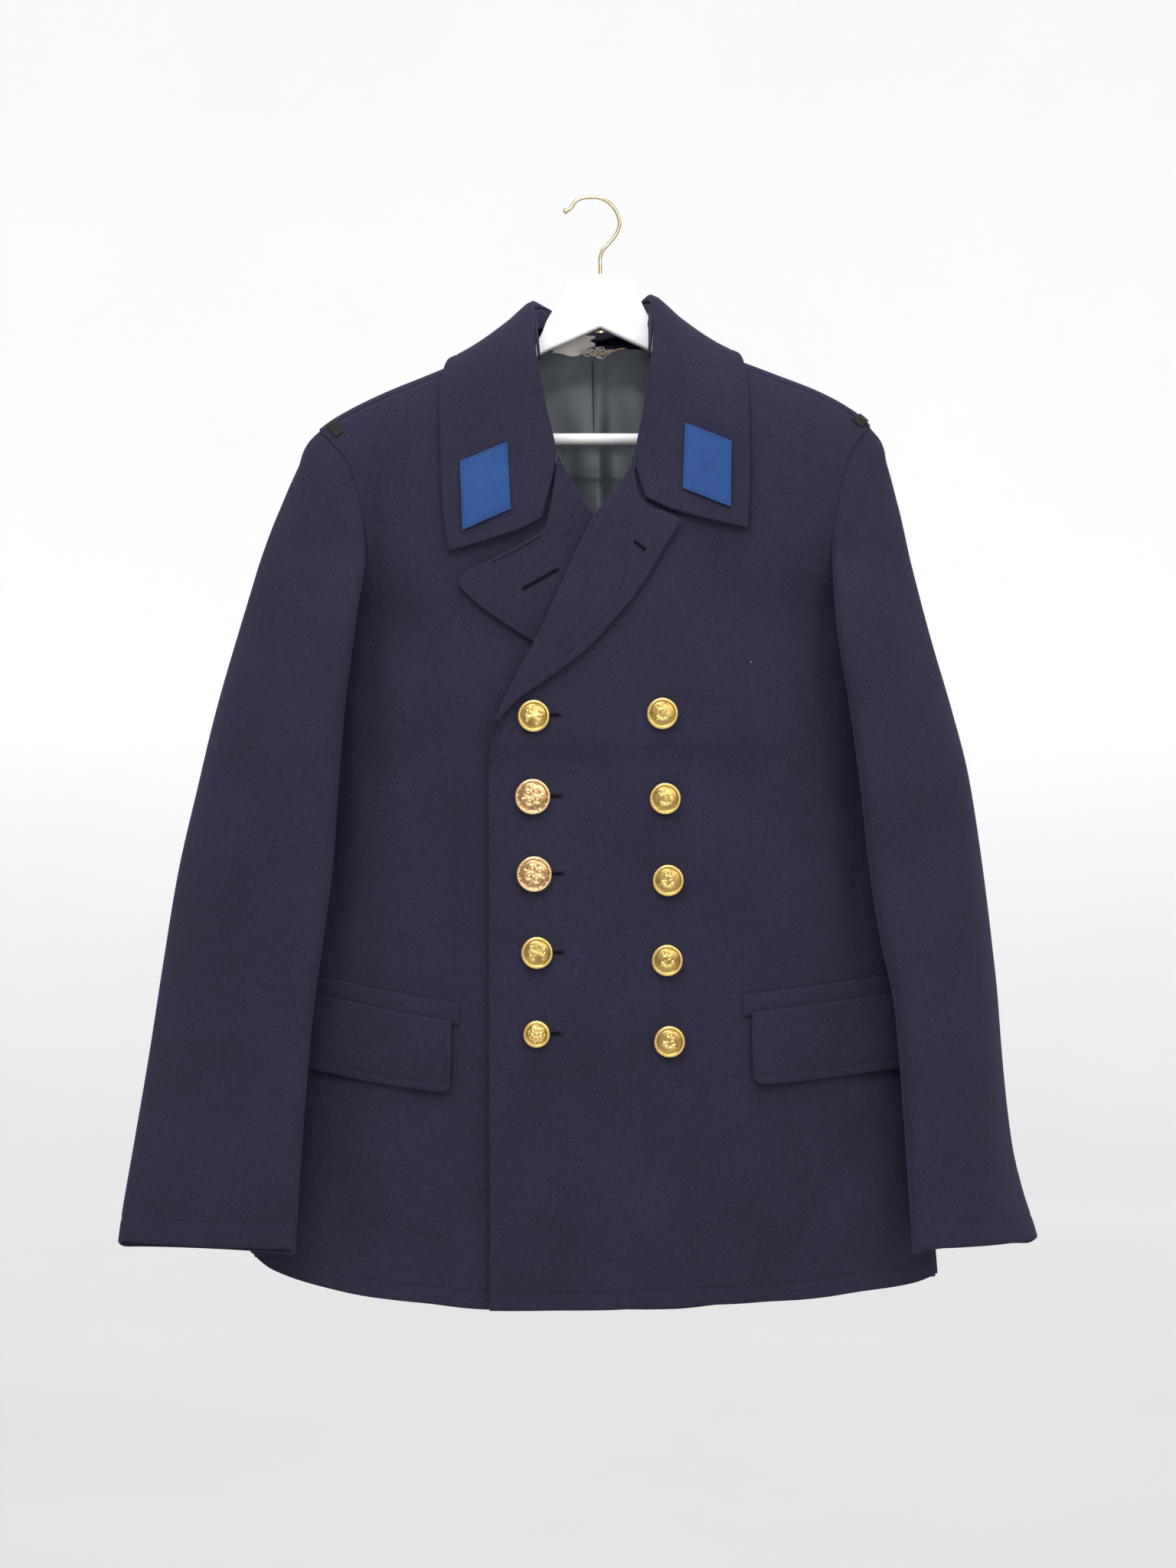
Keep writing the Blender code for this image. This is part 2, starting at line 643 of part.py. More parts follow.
def flap(which, jacket):
    anchor, _ = flap_axis(which)
    hinge = pivot(f"flap_{SIDES[which]}_axis", *anchor, jacket)

    def shape(u, v):
        x, z = flap_line(which, u)
        corner = np.clip(1 - u * 9, 0, 1)
        drop = FLAP * v * (1 - FLAP_CORNER * (1 - np.sqrt(1 - np.minimum(corner, 0.999) ** 2)))
        return raised(x, turn_at(x, z - drop, FRONT), front_lift(which, x, z) + FOLD_LIFT)

    return shell(f"pocket_flap_{SIDES[which]}", (12, 5), shape, CLOTH - 0.6, WOOL, hinge)


def welt(which, jacket):
    """The folded strip above a flap."""
    def shape(u, v):
        x, z = flap_line(which, mix(-0.04, 1, u))
        z = z + mix(1.2, WELT, v)
        return raised(x, turn_at(x, z, FRONT), front_lift(which, x, z) + 2 * GAP + 1.6)

    return shell(f"pocket_welt_{SIDES[which]}", (10, 2), shape, 1.6, WOOL, jacket)


def pocket_bag(which, jacket):
    """A flat bag behind the pocket's slit, open along its top."""
    def shape(u, v):
        angle = 2 * math.pi * u
        share = 0.5 + 0.47 * np.cos(angle)
        depth = np.abs(np.sin(angle)) ** 0.25 * np.sign(np.sin(angle))
        x, z = flap_line(which, share)
        z = z - 9 - BAG_DEPTH * np.sin(v * math.pi / 2)
        thick = 1.4 * np.where(v > 0.98, 0.5, 1)
        return raised(x, turn_at(x, z, FRONT), front_lift(which, x, z) + PAD_LIFT - 1.5 + thick * depth)

    def core(point):
        turn = turn_at(point[0], point[2], FRONT)
        return raised(point[0], turn, float(front_lift(which, point[0], point[2])) + PAD_LIFT - 1.5)

    return shell(f"pocket_bag_{SIDES[which]}", (20, 4), shape, 0.5, CANVAS, jacket, core, ring=True)


# --- Sleeves --------------------------------------------------------------------------------

sleeve_in = {
    RIGHT: profile((-850, 233), (-770, 229), (-709, 225), (-647, 220), (-586, 212), (-524, 204),
                   (-463, 200), (-402, 195), (-340, 187), (-279, 182)),
    LEFT: profile((-850, 250), (-770, 247), (-709, 244), (-635, 238), (-586, 227), (-524, 217),
                  (-463, 210), (-402, 201), (-340, 190), (-291, 187)),
}
sleeve_out = {
    RIGHT: profile((-850, 379), (-803, 373), (-749, 364), (-677, 352), (-605, 341), (-533, 329),
                   (-461, 312), (-407, 299), (-353, 284), (-317, 273), (-281, 262), (-245, 250),
                   (-209, 236), (-191, 228), (-181, 220)),
    LEFT: profile((-850, 356), (-821, 350), (-785, 338), (-749, 329), (-677, 320), (-605, 314),
                  (-533, 306), (-461, 295), (-407, 282), (-353, 267), (-317, 257), (-281, 248),
                  (-245, 242), (-209, 234), (-191, 228), (-179, 220)),
}
sleeve_y_in = profile((-850, -60), (-600, -56), (-345, -58), (-280, -40))
sleeve_y_out = {RIGHT: profile((-850, -8), (-600, 12), (-345, 12), (-280, 8)),
                LEFT: profile((-850, 16), (-600, 24), (-345, 12), (-280, 8))}
sleeve_half = {RIGHT: profile((-850, 17), (-600, 25), (-450, 24), (-345, 18)),
               LEFT: profile((-850, 23), (-600, 27), (-450, 24), (-345, 17))}


def sleeve_section(which, z, angle, inset=0.0):
    """x and y round a sleeve at height z: angle 0 is its outer fold and pi its inner one, and the
    way between them from 0 up to pi is its front."""
    x_in, x_out = sleeve_in[which](z), sleeve_out[which](z)
    y_in, y_out = sleeve_y_in(z), sleeve_y_out[which](z)
    length = np.hypot(x_out - x_in, y_out - y_in)
    along_x, along_y = (x_out - x_in) / length, (y_out - y_in) / length
    reach = (length / 2 - inset) * np.cos(angle)
    bulge = (sleeve_half[which](z) - inset) * np.sin(angle)
    x = (x_in + x_out) / 2 + reach * along_x + bulge * along_y
    y = (y_in + y_out) / 2 + reach * along_y - bulge * along_x
    return which * x, y


def cuff_level(angle):
    return mix(CUFF[FRONT], CUFF[BACK], smooth(np.cos(angle - math.pi / 2), 0.4, -0.4))


def sleeve_core(which):
    def inside(point):
        x, y = sleeve_section(which, point[2], np.array((0, math.pi)))
        return float(x.mean()), float(y.mean()), point[2]

    return inside


def sleeve_shell(name, which, parent, start, end, finish, thickness, inset, size, ring=False):
    """A piece of a sleeve between two angles, from the hinge line down to the cuff."""
    def shape(u, v):
        angle = mix(start, end, u)
        z = mix(cuff_level(angle) + 3 * inset, SLEEVE_HINGE - HINGE_GAP - inset, v)
        x, y = sleeve_section(which, z, angle, inset)
        return x, y, z

    return shell(name, size, shape, thickness, finish, parent, sleeve_core(which), ring)


def sleeve(which, jacket):
    """The hanging sleeve: its top and under pieces and its lining turn on a line at its outer fold."""
    outer = which * (float(sleeve_out[which](SLEEVE_HINGE)) + 1.5)
    hinge = pivot(f"sleeve_{SIDES[which]}_axis", outer, 0, SLEEVE_HINGE, jacket)
    seams = (-0.75, math.pi - 0.75)
    split = 0.03
    sleeve_shell(f"top_sleeve_{SIDES[which]}", which, hinge, seams[0] + split, seams[1] - split,
                 WOOL, CLOTH, 0, (11, 9))
    sleeve_shell(f"under_sleeve_{SIDES[which]}", which, hinge, seams[1] + split,
                 seams[0] + 2 * math.pi - split, WOOL, CLOTH, 0, (11, 9))
    sleeve_shell(f"sleeve_lining_{SIDES[which]}", which, hinge, seams[0], seams[0] + 2 * math.pi,
                 SATIN, THIN, CLOTH + 6 * GAP, (22, 9), ring=True)
    sleeve_cap(which, jacket)


def sleeve_cap(which, jacket):
    """The head of the sleeve, from the armhole seam down to the hinge line."""
    top = {LEFT: -181.5, RIGHT: -184.5}[which]

    def shape(u, v):
        z = mix(top, SLEEVE_HINGE + HINGE_GAP, v**1.7)
        angle = mix(math.pi, -0.75 * math.pi / 2, u)
        seam_level = np.maximum(z, -290)
        seam_x = {face: armhole[which, face](seam_level) + 2.8 * SEAM for face in (FRONT, BACK)}
        y_front = over_shoulder(which * seam_x[FRONT], turn_at(which * seam_x[FRONT], z, FRONT))[1]
        y_back = over_shoulder(which * seam_x[BACK], turn_at(which * seam_x[BACK], z, BACK))[1]
        round_angle = mix(-math.pi / 2, math.pi / 2, u)
        seam = mix(seam_x[FRONT], seam_x[BACK], u)
        x = which * (seam + (sleeve_out[which](z) - seam) * np.cos(round_angle))
        y = (y_front + y_back) / 2 + (y_back - y_front) / 2 * np.sin(round_angle)
        low_x, low_y = sleeve_section(which, z, angle)
        share = smooth(z, -250, SLEEVE_HINGE)
        return mix(x, low_x, share), mix(y, low_y, share), z

    return shell(f"sleeve_cap_{SIDES[which]}", (12, 11), shape, CLOTH, WOOL, jacket, sleeve_core(which))


# --- Buttons --------------------------------------------------------------------------------


def button(column, row, jacket):
    """A gilt button: a turned, domed face on its own shank, which turn together."""
    x, z, diameter = BUTTONS[column][row]
    lift = float(overlap_lift(np.float64(x), np.float64(z)))
    surface = float(over_shoulder(np.float64(x), turn_at(np.float64(x), z, FRONT))[1])
    back = surface - lift - BUTTON_CLEAR
    foot = surface - GAP - (0 if column == "inner" else lift)
    name = f"button_{column}_{row + 1}"
    axis = pivot(f"{name}_axis", x, back, z, jacket)
    radius = diameter / 2
    rim = BUTTON_HEIGHT * 0.42
    outline = [(0, BUTTON_HEIGHT)]
    for step in range(1, 4):
        angle = step / 4 * math.pi / 2
        outline.append(((radius - 1.6) * math.sin(angle), rim + (BUTTON_HEIGHT - rim) * math.cos(angle)))
    outline += [(radius - 1.2, rim), (radius - 0.3, rim + 0.3), (radius, rim - 0.6),
                (radius - 0.6, 0.5), (radius - 2, 0), (0, 0)]
    mesh = bpy.data.meshes.new(name)
    mesh.from_pydata([(across * MM, 0, up * MM) for across, up in outline],
                     [(i, i + 1) for i in range(len(outline) - 1)], [])
    face = add(name, mesh, GOLD)
    face.rotation_euler.x = math.pi / 2
    face.location = Vector((x, back, z)) * MM
    turned = face.modifiers.new("turned", "SCREW")
    turned.axis = "Z"
    turned.angle = 2 * math.pi
    turned.steps = turned.render_steps = 14
    turned.use_merge_vertices = True
    turned.merge_threshold = 0.00001
    bpy.context.view_layer.update()
    world = face.matrix_world.copy()
    face.parent = axis
    face.matrix_world = world
    length = foot - back - 0.35
    cylinder(f"{name}_shank", SHANK_RADIUS, length, (x, back + 0.35 + length / 2, z), "Y", GOLD, axis, 10)


def buttonholes(front):
    """Slits in the left front, which the inner buttons' shanks pass through."""
    for row, (x, z, _) in enumerate(BUTTONS["inner"]):
        centre = (x + HOLE_LENGTH / 2 - HOLE_START, -60, z)
        cut(front, box_cutter(f"buttonhole_{row + 1}", centre, (HOLE_LENGTH, 60, HOLE_HEIGHT)))


def pocket_slits(which, front):
    x0, z0 = flap_line(which, 0.06)
    x1, z1 = flap_line(which, 0.94)
    centre = ((x0 + x1) / 2, -50, (z0 + z1) / 2 - 5)
    size = (abs(x1 - x0), 100, 3.0)
    cut(front, box_cutter(f"pocket_slit_{SIDES[which]}", centre, size, -math.atan2(z1 - z0, x1 - x0)))


def main():
    hook()
    jacket = pivot("jacket_axis", SHANK_X, 0, 0)
    hanger(jacket)
    fronts = {which: front_panel(which, jacket) for which in SIDES}
    buttonholes(fronts[LEFT])
    facings = {which: facing(which, jacket) for which in SIDES}
    buttonholes(facings[LEFT])
    for which in SIDES:
        pocket_slits(which, fronts[which])
        back_panel(which, jacket)
        front_lining(which, jacket)
        shoulder_pad(which, jacket)
        lapel(which, jacket)
        collar_patch(which, jacket)
        shoulder_loop(which, jacket)
        flap(which, jacket)
        welt(which, jacket)
        pocket_bag(which, jacket)
        sleeve(which, jacket)
    back_lining(jacket)
    top_collar(jacket)
    collar_stand(jacket)
    neck_label(jacket)
    for column, places in BUTTONS.items():
        for row in range(len(places)):
            button(column, row, jacket)


main()
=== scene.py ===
"""The visual model of a double-breasted uniform jacket on its hanger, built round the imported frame.

The shapes are worked out in millimetres, in the frame of the CAD model, and MM turns them into
metres. +Z is up, +X is the wearer's left, and the front faces -Y. Left and right are the wearer's.
"""

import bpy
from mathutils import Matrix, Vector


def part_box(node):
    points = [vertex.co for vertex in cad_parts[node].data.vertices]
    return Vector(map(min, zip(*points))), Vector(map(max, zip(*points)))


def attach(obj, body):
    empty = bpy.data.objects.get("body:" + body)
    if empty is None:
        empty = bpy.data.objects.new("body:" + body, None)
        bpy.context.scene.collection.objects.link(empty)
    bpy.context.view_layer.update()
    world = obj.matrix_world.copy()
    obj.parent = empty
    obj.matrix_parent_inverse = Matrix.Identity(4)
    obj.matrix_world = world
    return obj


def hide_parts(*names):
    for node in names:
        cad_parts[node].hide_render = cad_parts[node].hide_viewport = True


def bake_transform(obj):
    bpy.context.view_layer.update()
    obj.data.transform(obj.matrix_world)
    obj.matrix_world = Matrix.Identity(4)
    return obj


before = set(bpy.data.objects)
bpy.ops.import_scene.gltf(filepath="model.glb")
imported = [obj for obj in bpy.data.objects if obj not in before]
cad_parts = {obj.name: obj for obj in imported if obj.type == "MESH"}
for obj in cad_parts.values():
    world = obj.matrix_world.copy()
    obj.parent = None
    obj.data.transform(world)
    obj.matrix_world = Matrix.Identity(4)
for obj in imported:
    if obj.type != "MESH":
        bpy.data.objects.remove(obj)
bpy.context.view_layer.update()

import math

import bmesh
import bpy
import numpy as np
from mathutils import Vector

MM = 0.001
LEFT, RIGHT = 1, -1
FRONT, BACK = -1, 1
SIDES = {LEFT: "left", RIGHT: "right"}

# Cloth layers. A lift is the height of a layer's outer face above the body's outer surface.
CLOTH = 3.0
THIN = 0.8
GAP = 0.5
PAD = 2.0
PAD_LIFT = -(CLOTH + 4 * GAP)
LINING_LIFT = PAD_LIFT - PAD - 2 * GAP
LINING_FACE = LINING_LIFT - THIN
BAG_LIFT = PAD_LIFT - 1.5
FLAP_LIFT = 4.6
WELT_LIFT = 2.2
OVERLAP_LIFT = 2 * CLOTH + THIN + 2 * GAP
CROSSING_LIFT = OVERLAP_LIFT + CLOTH + 2 * GAP
FOLD_LIFT = CLOTH + 4 * GAP
COLLAR_LIFT = FOLD_LIFT + 1.0
PATCH_LIFT = COLLAR_LIFT + 3.0
TRIM = 1.2

# How panels meet: a gap between their edges, and how far one runs under the next.
EDGE_GAP = 0.3
UNDERLAP = 1.2
UNDER_LAPEL = 6.0

# The body of the jacket.
SHOULDER_ROUND = 60.0
SHOULDER_SEAM = 6.0
SHOULDER_END = 219.0
HEM = -873.0
ARMPIT = -336.0
FRONT_EDGE = 81.0
ROLL_START = -416.0
NECK_TOP = -114.0
NECK_SEAM = -112.0

# Hanger and hook.
WIRE = 1.5
SHANK_X = 4.8
FERRULE = 2.0
BOARD = 12.0
BOARD_HALF = 206.0
BOARD_TOP = -60.4

# Seams and pockets.
SHOULDER_DROP = SHOULDER_SEAM + EDGE_GAP
HEM_STITCH = 13.5
STITCH = 0.55
FLAP = 57.0
WELT = 17.0
BAG_DEPTH = 150.0

# The room. Its wall glows, so that the backdrop stays pale.
FLOOR = -1500.0
ROOM = 7500.0
CORNER = 1200.0
WALL = 5200.0
WALL_GLOW = 0.43

NARROWEST_SHEET = 0.01  # In metres: dress returns early for a narrower piece.
ROWS_TO_TOP = 1.8       # Above 1, a panel's grid rows lie closer towards its top.


def profile(*points):
    """A smooth curve through (key, value) points that never overshoots them."""
    keys, values = (np.array(column, float) for column in zip(*sorted(points)))
    steps = np.diff(keys)
    slopes = np.diff(values) / steps
    tangents = np.zeros(len(keys))
    tangents[0], tangents[-1] = slopes[0], slopes[-1]
    for i in range(1, len(keys) - 1):
        if slopes[i - 1] * slopes[i] > 0:
            tangents[i] = 2 / (1 / slopes[i - 1] + 1 / slopes[i])

    def value(key):
        key = np.clip(key, keys[0], keys[-1])
        i = np.clip(np.searchsorted(keys, key, side="right") - 1, 0, len(steps) - 1)
        t = (key - keys[i]) / steps[i]
        start = (1 + 2 * t) * (1 - t) ** 2 * values[i] + t * (1 - t) ** 2 * steps[i] * tangents[i]
        end = t * t * (3 - 2 * t) * values[i + 1] + t * t * (t - 1) * steps[i] * tangents[i + 1]
        return start + end

    return value


def profiles(*rows):
    """One profile for each column of values, from rows of (key, value, value...)."""
    keys, *columns = zip(*rows)
    return [profile(*zip(keys, column)) for column in columns]


def smooth(x, low, high):
    """0 up to low, 1 from high, and a smooth rise between them."""
    t = np.clip((x - low) / (high - low), 0, 1)
    return t * t * (3 - 2 * t)


def mix(a, b, share):
    return a + (b - a) * share


def hill(distance, width):
    """1 at no distance, falling off smoothly over the width."""
    return np.exp(-((distance / width) ** 2))


def unit(vectors):
    return vectors / np.maximum(np.linalg.norm(vectors, axis=0), 1e-9)


# --- The body's outer surface ---------------------------------------------------------------

# Height of the shoulder ridge over x, then half-width, depths and side shift of the body over z.
ridge = profile((-219, -183), (-205, -173), (-170, -155), (-126, -137), (-60, -109), (-30, -92),
                (0, -86), (30, -91), (60, -107), (139, -137), (182, -154), (212, -172), (219, -179))
side = profile((-900, 275), (-850, 272), (-800, 267), (-700, 256), (-600, 245), (-500, 234),
               (-420, 228), (ARMPIT, 224), (-290, 245), (-180, 300))
depths = {
    FRONT: profile((-870, 48), (-600, 55), (-420, 60), (-250, 54), (-160, 46), (-90, 38)),
    BACK: profile((-890, 30), (-600, 36), (-420, 42), (-250, 44), (-160, 42), (-90, 36)),
}
side_shift = profile((-890, 10), (-600, 18), (ARMPIT, 22), (-260, 9), (-180, 4))
hem = {
    FRONT: profile((-274, -835), (-254, -847), (-201, -861), (-134, -869), (-82, -873), (0, -872),
                   (75, -869), (149, -867), (210, -862), (253, -857), (272, -852)),
    BACK: profile((-274, -838), (-200, -862), (-100, -876), (0, -883), (60, -883), (120, -877),
                  (200, -868), (274, -854)),
}
armhole = {
    (RIGHT, FRONT): profile((-183, 219), (-198, 204), (-211, 194), (-225, 189), (-247, 183),
                            (-284, 180), (-308, 188), (-328, 208), (ARMPIT, 223)),
    (LEFT, FRONT): profile((-180, 219), (-194, 208), (-206, 201), (-235, 193), (-272, 188),
                           (-298, 189), (-316, 198), (-329, 211), (ARMPIT, 223)),
}
for which in SIDES:
    armhole[which, BACK] = profile((-181, 219), (-200, 206), (-220, 198), (-255, 192), (-290, 191),
                                   (-315, 202), (-330, 214), (ARMPIT, 223))
# Inner edge of each front: its straight edge below, the lapel's roll line, and then the neck.
roll_line = {
    LEFT: profile((-890, -FRONT_EDGE), (ROLL_START - 40, -FRONT_EDGE), (ROLL_START, -75),
                  (-337, -38), (-258, -2), (-208, 31), (-161, 41), (-122, 46), (-90, 50)),
    RIGHT: profile((-890, -FRONT_EDGE), (ROLL_START - 40, -FRONT_EDGE), (ROLL_START, -75),
                   (-337, -38), (-258, -2), (-205, 28), (-159, 40), (-124, 44), (-90, 50)),
}


def over_shoulder(x, turn):
    """A point of the body by x and its turn over the shoulder: 0 on the ridge, -pi/2 where the
    front hangs straight and pi/2 where the back does, and further on below them."""
    angle = np.abs(turn)
    drop = np.where(angle < math.pi / 2, 1 - np.cos(angle), 1 + angle - math.pi / 2)
    z = ridge(x) - SHOULDER_ROUND * drop
    depth = np.where(turn < 0, -depths[FRONT](z), depths[BACK](z))
    share = np.clip(x / side(z), -1, 1)
    swell = np.sin(np.minimum(angle, math.pi / 2)) * np.sqrt(1 - share**2)
    return np.stack(np.broadcast_arrays(x, side_shift(z) * share**2 + depth * swell, z))


def turn_at(x, z, face):
    """The turn over the shoulder of the point at x and z on the front or the back."""
    drop = np.maximum(ridge(x) - z, 0) / SHOULDER_ROUND
    return face * np.where(drop < 1, np.arccos(1 - np.minimum(drop, 1)), drop - 1 + math.pi / 2)


def raised(x, turn, lift):
    """The point at x and turn, lifted square to the surface."""
    across = over_shoulder(x + 0.5, turn) - over_shoulder(x - 0.5, turn)
    along = over_shoulder(x, turn + 0.01) - over_shoulder(x, turn - 0.01)
    normal = np.cross(across, along, axis=0)
    return over_shoulder(x, turn) + lift * normal / np.linalg.norm(normal, axis=0)


def overlap_lift(x, z):
    """How far the left front stands off the body where it covers the right front and its lapel."""
    covered = -roll_line[RIGHT](z)
    over_edge = 1 - smooth(x, covered + 16, covered + 90)
    over_lapel = smooth(z, ROLL_START - 34, ROLL_START - 9)
    below_neck = 1 - smooth(z, -255, -185)
    return over_edge * mix(OVERLAP_LIFT, CROSSING_LIFT, over_lapel) * below_neck


def front_lift(which, x, z):
    return overlap_lift(x, z) if which == LEFT else 0 * x


# Soft folds of the hanging cloth: x and z at the top, x and z at the bottom, width and height.
FOLDS = {
    FRONT: ((-150, -330, -172, -900, 24, 3.4), (-112, -440, -126, -900, 15, -2.4),
            (-196, -380, -214, -900, 17, -2.6), (152, -310, 172, -900, 24, 3.2),
            (98, -420, 92, -900, 17, -2.0), (205, -400, 214, -900, 16, -2.6),
            (16, -430, 6, -900, 26, 1.6), (-35, -640, -28, -900, 17, -1.5),
            (113, -560, 120, -655, 5, -2.2), (232, -705, 118, -905, 18, -3.2),
            (-232, -700, -150, -905, 20, -2.0), (132, -150, 146, -330, 16, 1.8),
            (-132, -150, -146, -330, 16, 1.8), (60, -660, 52, -900, 16, 1.6),
            (-173, -205, -178, -460, 10, -4.5), (180, -215, 186, -400, 10, -1.2)),
    BACK: ((-62, -210, -95, -900, 26, 4.5), (62, -210, 95, -900, 26, 4.5),
           (0, -260, 0, -900, 12, -2.5), (-140, -300, -165, -900, 20, -3.5),
           (140, -300, 168, -900, 20, -3.5), (-195, -380, -215, -900, 20, 3.0),
           (195, -380, 215, -900, 20, 3.0), (30, -560, 42, -900, 12, -1.8)),
}


def drape(x, z, face):
    """How far the folds move the cloth out from the body's smooth surface."""
    total = 0 * x
    for x0, z0, x1, z1, width, height in FOLDS[face]:
        share = np.clip((z0 - z) / (z0 - z1), 0, 1)
        level = smooth(z0 - z, 0, 70) * smooth(z - z1, -30, 25)
        total = total + height * level * hill(x - mix(x0, x1, share), width * (0.7 + 0.5 * share))
    edge = 1 - smooth(np.abs(x), 236, 262)
    return total * edge


def placed(x, turn, lift):
    """The point at x and turn of the draped cloth, lifted square to the surface."""
    x, turn = np.broadcast_arrays(np.asarray(x, float), np.asarray(turn, float))
    z = over_shoulder(x, turn)[2]
    low = smooth(np.abs(turn), 1.2, 2.2)
    folds = np.where(turn < 0, drape(x, z, FRONT), drape(x, z, BACK)) * low
    return raised(x, turn, lift + folds)


def front_point(x, z, lift):
    return placed(x, turn_at(x, z, FRONT), lift)


# --- Meshes ---------------------------------------------------------------------------------


def piece(name, verts, faces, finish, weld=0.0):
    """A closed mesh from points in millimetres, with its normals facing out."""
    bm = bmesh.new()
    made = [bm.verts.new(Vector(point) * MM) for point in verts]
    for face in faces:
        if len(set(face)) > 2:
            try:
                bm.faces.new([made[i] for i in face])
            except ValueError:
                pass
    if weld:
        bmesh.ops.remove_doubles(bm, verts=bm.verts, dist=weld * MM)
        bmesh.ops.dissolve_degenerate(bm, edges=bm.edges, dist=weld * 0.2 * MM)
    bmesh.ops.recalc_face_normals(bm, faces=bm.faces)
    mesh = bpy.data.meshes.new(name)
    bm.to_mesh(mesh)
    bm.free()
    mesh.shade_smooth()
    obj = bpy.data.objects.new(name, mesh)
    bpy.context.scene.collection.objects.link(obj)
    mesh.materials.append(finish)
    return obj


def graded(length, step, rims, rim, seams):
    """Parameters from 0 to 1 along a side: even steps, and close ones at round rims and seams."""
    marks = []
    if rims[0]:
        marks += [rim * s for s in (0, 0.06, 0.25, 0.55, 1)]
    if rims[1]:
        marks += [length - rim * s for s in (0, 0.06, 0.25, 0.55, 1)]
    for at in seams:
        place = at if at >= 0 else length + at
        marks += [place + s for s in (-2.4, -1.2, -0.5, 0, 0.5, 1.2, 2.4)]
    even = np.linspace(0, length, max(2, int(round(length / step))) + 1)
    marks = np.array([m for m in marks if 0 <= m <= length] + [0, length])
    near = np.abs(even[:, None] - marks[None]).min(axis=1)
    steps = np.unique(np.concatenate([marks, even[near > step * 0.35]]).round(4))
    return np.unique(np.clip(steps / length, 0, 1))


def arc(points, axis):
    """Distance along each grid line, and its whole length."""
    moved = np.linalg.norm(np.diff(points, axis=axis + 1), axis=0)
    start = np.zeros_like(np.take(moved, [0], axis=axis))
    along = np.cumsum(np.concatenate([start, moved], axis=axis), axis=axis)
    return along, np.take(along, [-1], axis=axis)


def slab(name, shape, finish, thickness=CLOTH, step=4.5, rims="uUvV", rim=None, seams=None,
         depth=0.9, ring=False, inside=None, weld=0.02):
    """A cloth piece: a grid laid in space by shape(u, v) and thickened inwards, with round rims.
    rims names the sides that are rounded: u and U are u = 0 and u = 1. seams gives distances from
    such a side, where a line of stitches sinks the cloth. Returns the piece and its flat size."""
    seams = seams or {}
    rim = rim or thickness / 2
    first = np.linspace(0, 1, 25)
    rough = shape(*np.meshgrid(first, first, indexing="ij"))
    steps = []
    for axis, low, high in ((0, "u", "U"), (1, "v", "V")):
        at = list(seams.get(low, ())) + [-s for s in seams.get(high, ())]
        run = arc(rough, axis)[0].mean(axis=1 - axis)
        even = graded(run[-1], step, (low in rims, high in rims), rim, at)
        steps.append(np.interp(even * run[-1], run, first))
    u, v = np.meshgrid(*steps, indexing="ij")
    points = np.stack(np.broadcast_arrays(*shape(u, v)))
    along_u = np.gradient(points, axis=1)
    if ring:
        seam_slope = (points[:, 1] - points[:, -2]) / 2
        along_u[:, 0] = along_u[:, -1] = seam_slope
    normal = unit(np.cross(along_u, np.gradient(points, axis=2), axis=0))
    core = inside(points) if inside else np.stack([points[0], 4 + 0 * points[1], points[2] - 30])
    if ((points - core) * normal).sum() < 0:
        normal = -normal
    along, totals = zip(*(arc(points, axis) for axis in (0, 1)))
    distance = {"u": along[0], "U": totals[0] - along[0], "v": along[1], "V": totals[1] - along[1]}
    nearest = np.full(u.shape, 1e9)
    for side_name in rims:
        nearest = np.minimum(nearest, distance[side_name])
    full = thickness(u, v) if callable(thickness) else thickness
    share = np.clip(nearest / rim, 0, 1)
    half = full / 2 - rim * (1 - np.sqrt(1 - (1 - share) ** 2)) * np.minimum(full / (2 * rim), 1)
    sunk = 0 * u
    for side_name, places in seams.items():
        for place in places:
            sunk = sunk + depth * hill(distance[side_name] - place, 1.1)
    outer = points - normal * (full / 2 - half + sunk)
    inner = points - normal * (full / 2 + half)
    rows, columns = u.shape
    index = np.arange(rows * columns).reshape(rows, columns)
    verts = np.concatenate([outer.reshape(3, -1), inner.reshape(3, -1)], axis=1).T
    faces = []
    for i in range(rows - 1):
        for j in range(columns - 1):
            a, b, c, d = index[i, j], index[i + 1, j], index[i + 1, j + 1], index[i, j + 1]
            faces.append((a, b, c, d))
            faces.append(tuple(n + rows * columns for n in (d, c, b, a)))
    loop = [index[i, 0] for i in range(rows)] + [index[-1, j] for j in range(1, columns)]
    loop += [index[i, -1] for i in range(rows - 2, -1, -1)]
    loop += [index[0, j] for j in range(columns - 2, 0, -1)]
    if ring:
        for j in (0, columns - 1):
            for i in range(rows - 1):
                a, b = index[i, j], index[i + 1, j]
                faces.append((a, b, b + rows * columns, a + rows * columns))
    else:
        for a, b in zip(loop, loop[1:] + loop[:1]):
            faces.append((b, a, a + rows * columns, b + rows * columns))
    obj = piece(name, verts, faces, finish, weld)
    area = sum(face.area for face in obj.data.polygons) / 2
    obj["flat"] = [float(totals[0].max()) * MM, float(totals[1].max()) * MM, area]
    return obj


def dress(obj, body, nodes=()):
    """Attaches a cloth piece to the body it rides on, or only bakes its transform when the body is
    given with more than a name, and hides the CAD nodes it stands for.
    """
    if isinstance(body, str):
        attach(obj, body)
    else:
        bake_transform(obj)
    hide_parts(*nodes)
    wide, sheen_streaks, area = obj["flat"]
    if wide < NARROWEST_SHEET:
        return obj
    area = min(max(area, 0.31 * wide * sheen_streaks), wide * sheen_streaks)
    return obj


def ring_faces(rings, count, base=0):
    """The faces between rings of count points each, the first of which is number base."""
    for i in range(rings - 1):
        for j in range(count):
            a, b = base + i * count + j, base + i * count + (j + 1) % count
            yield a, b, b + count, a + count


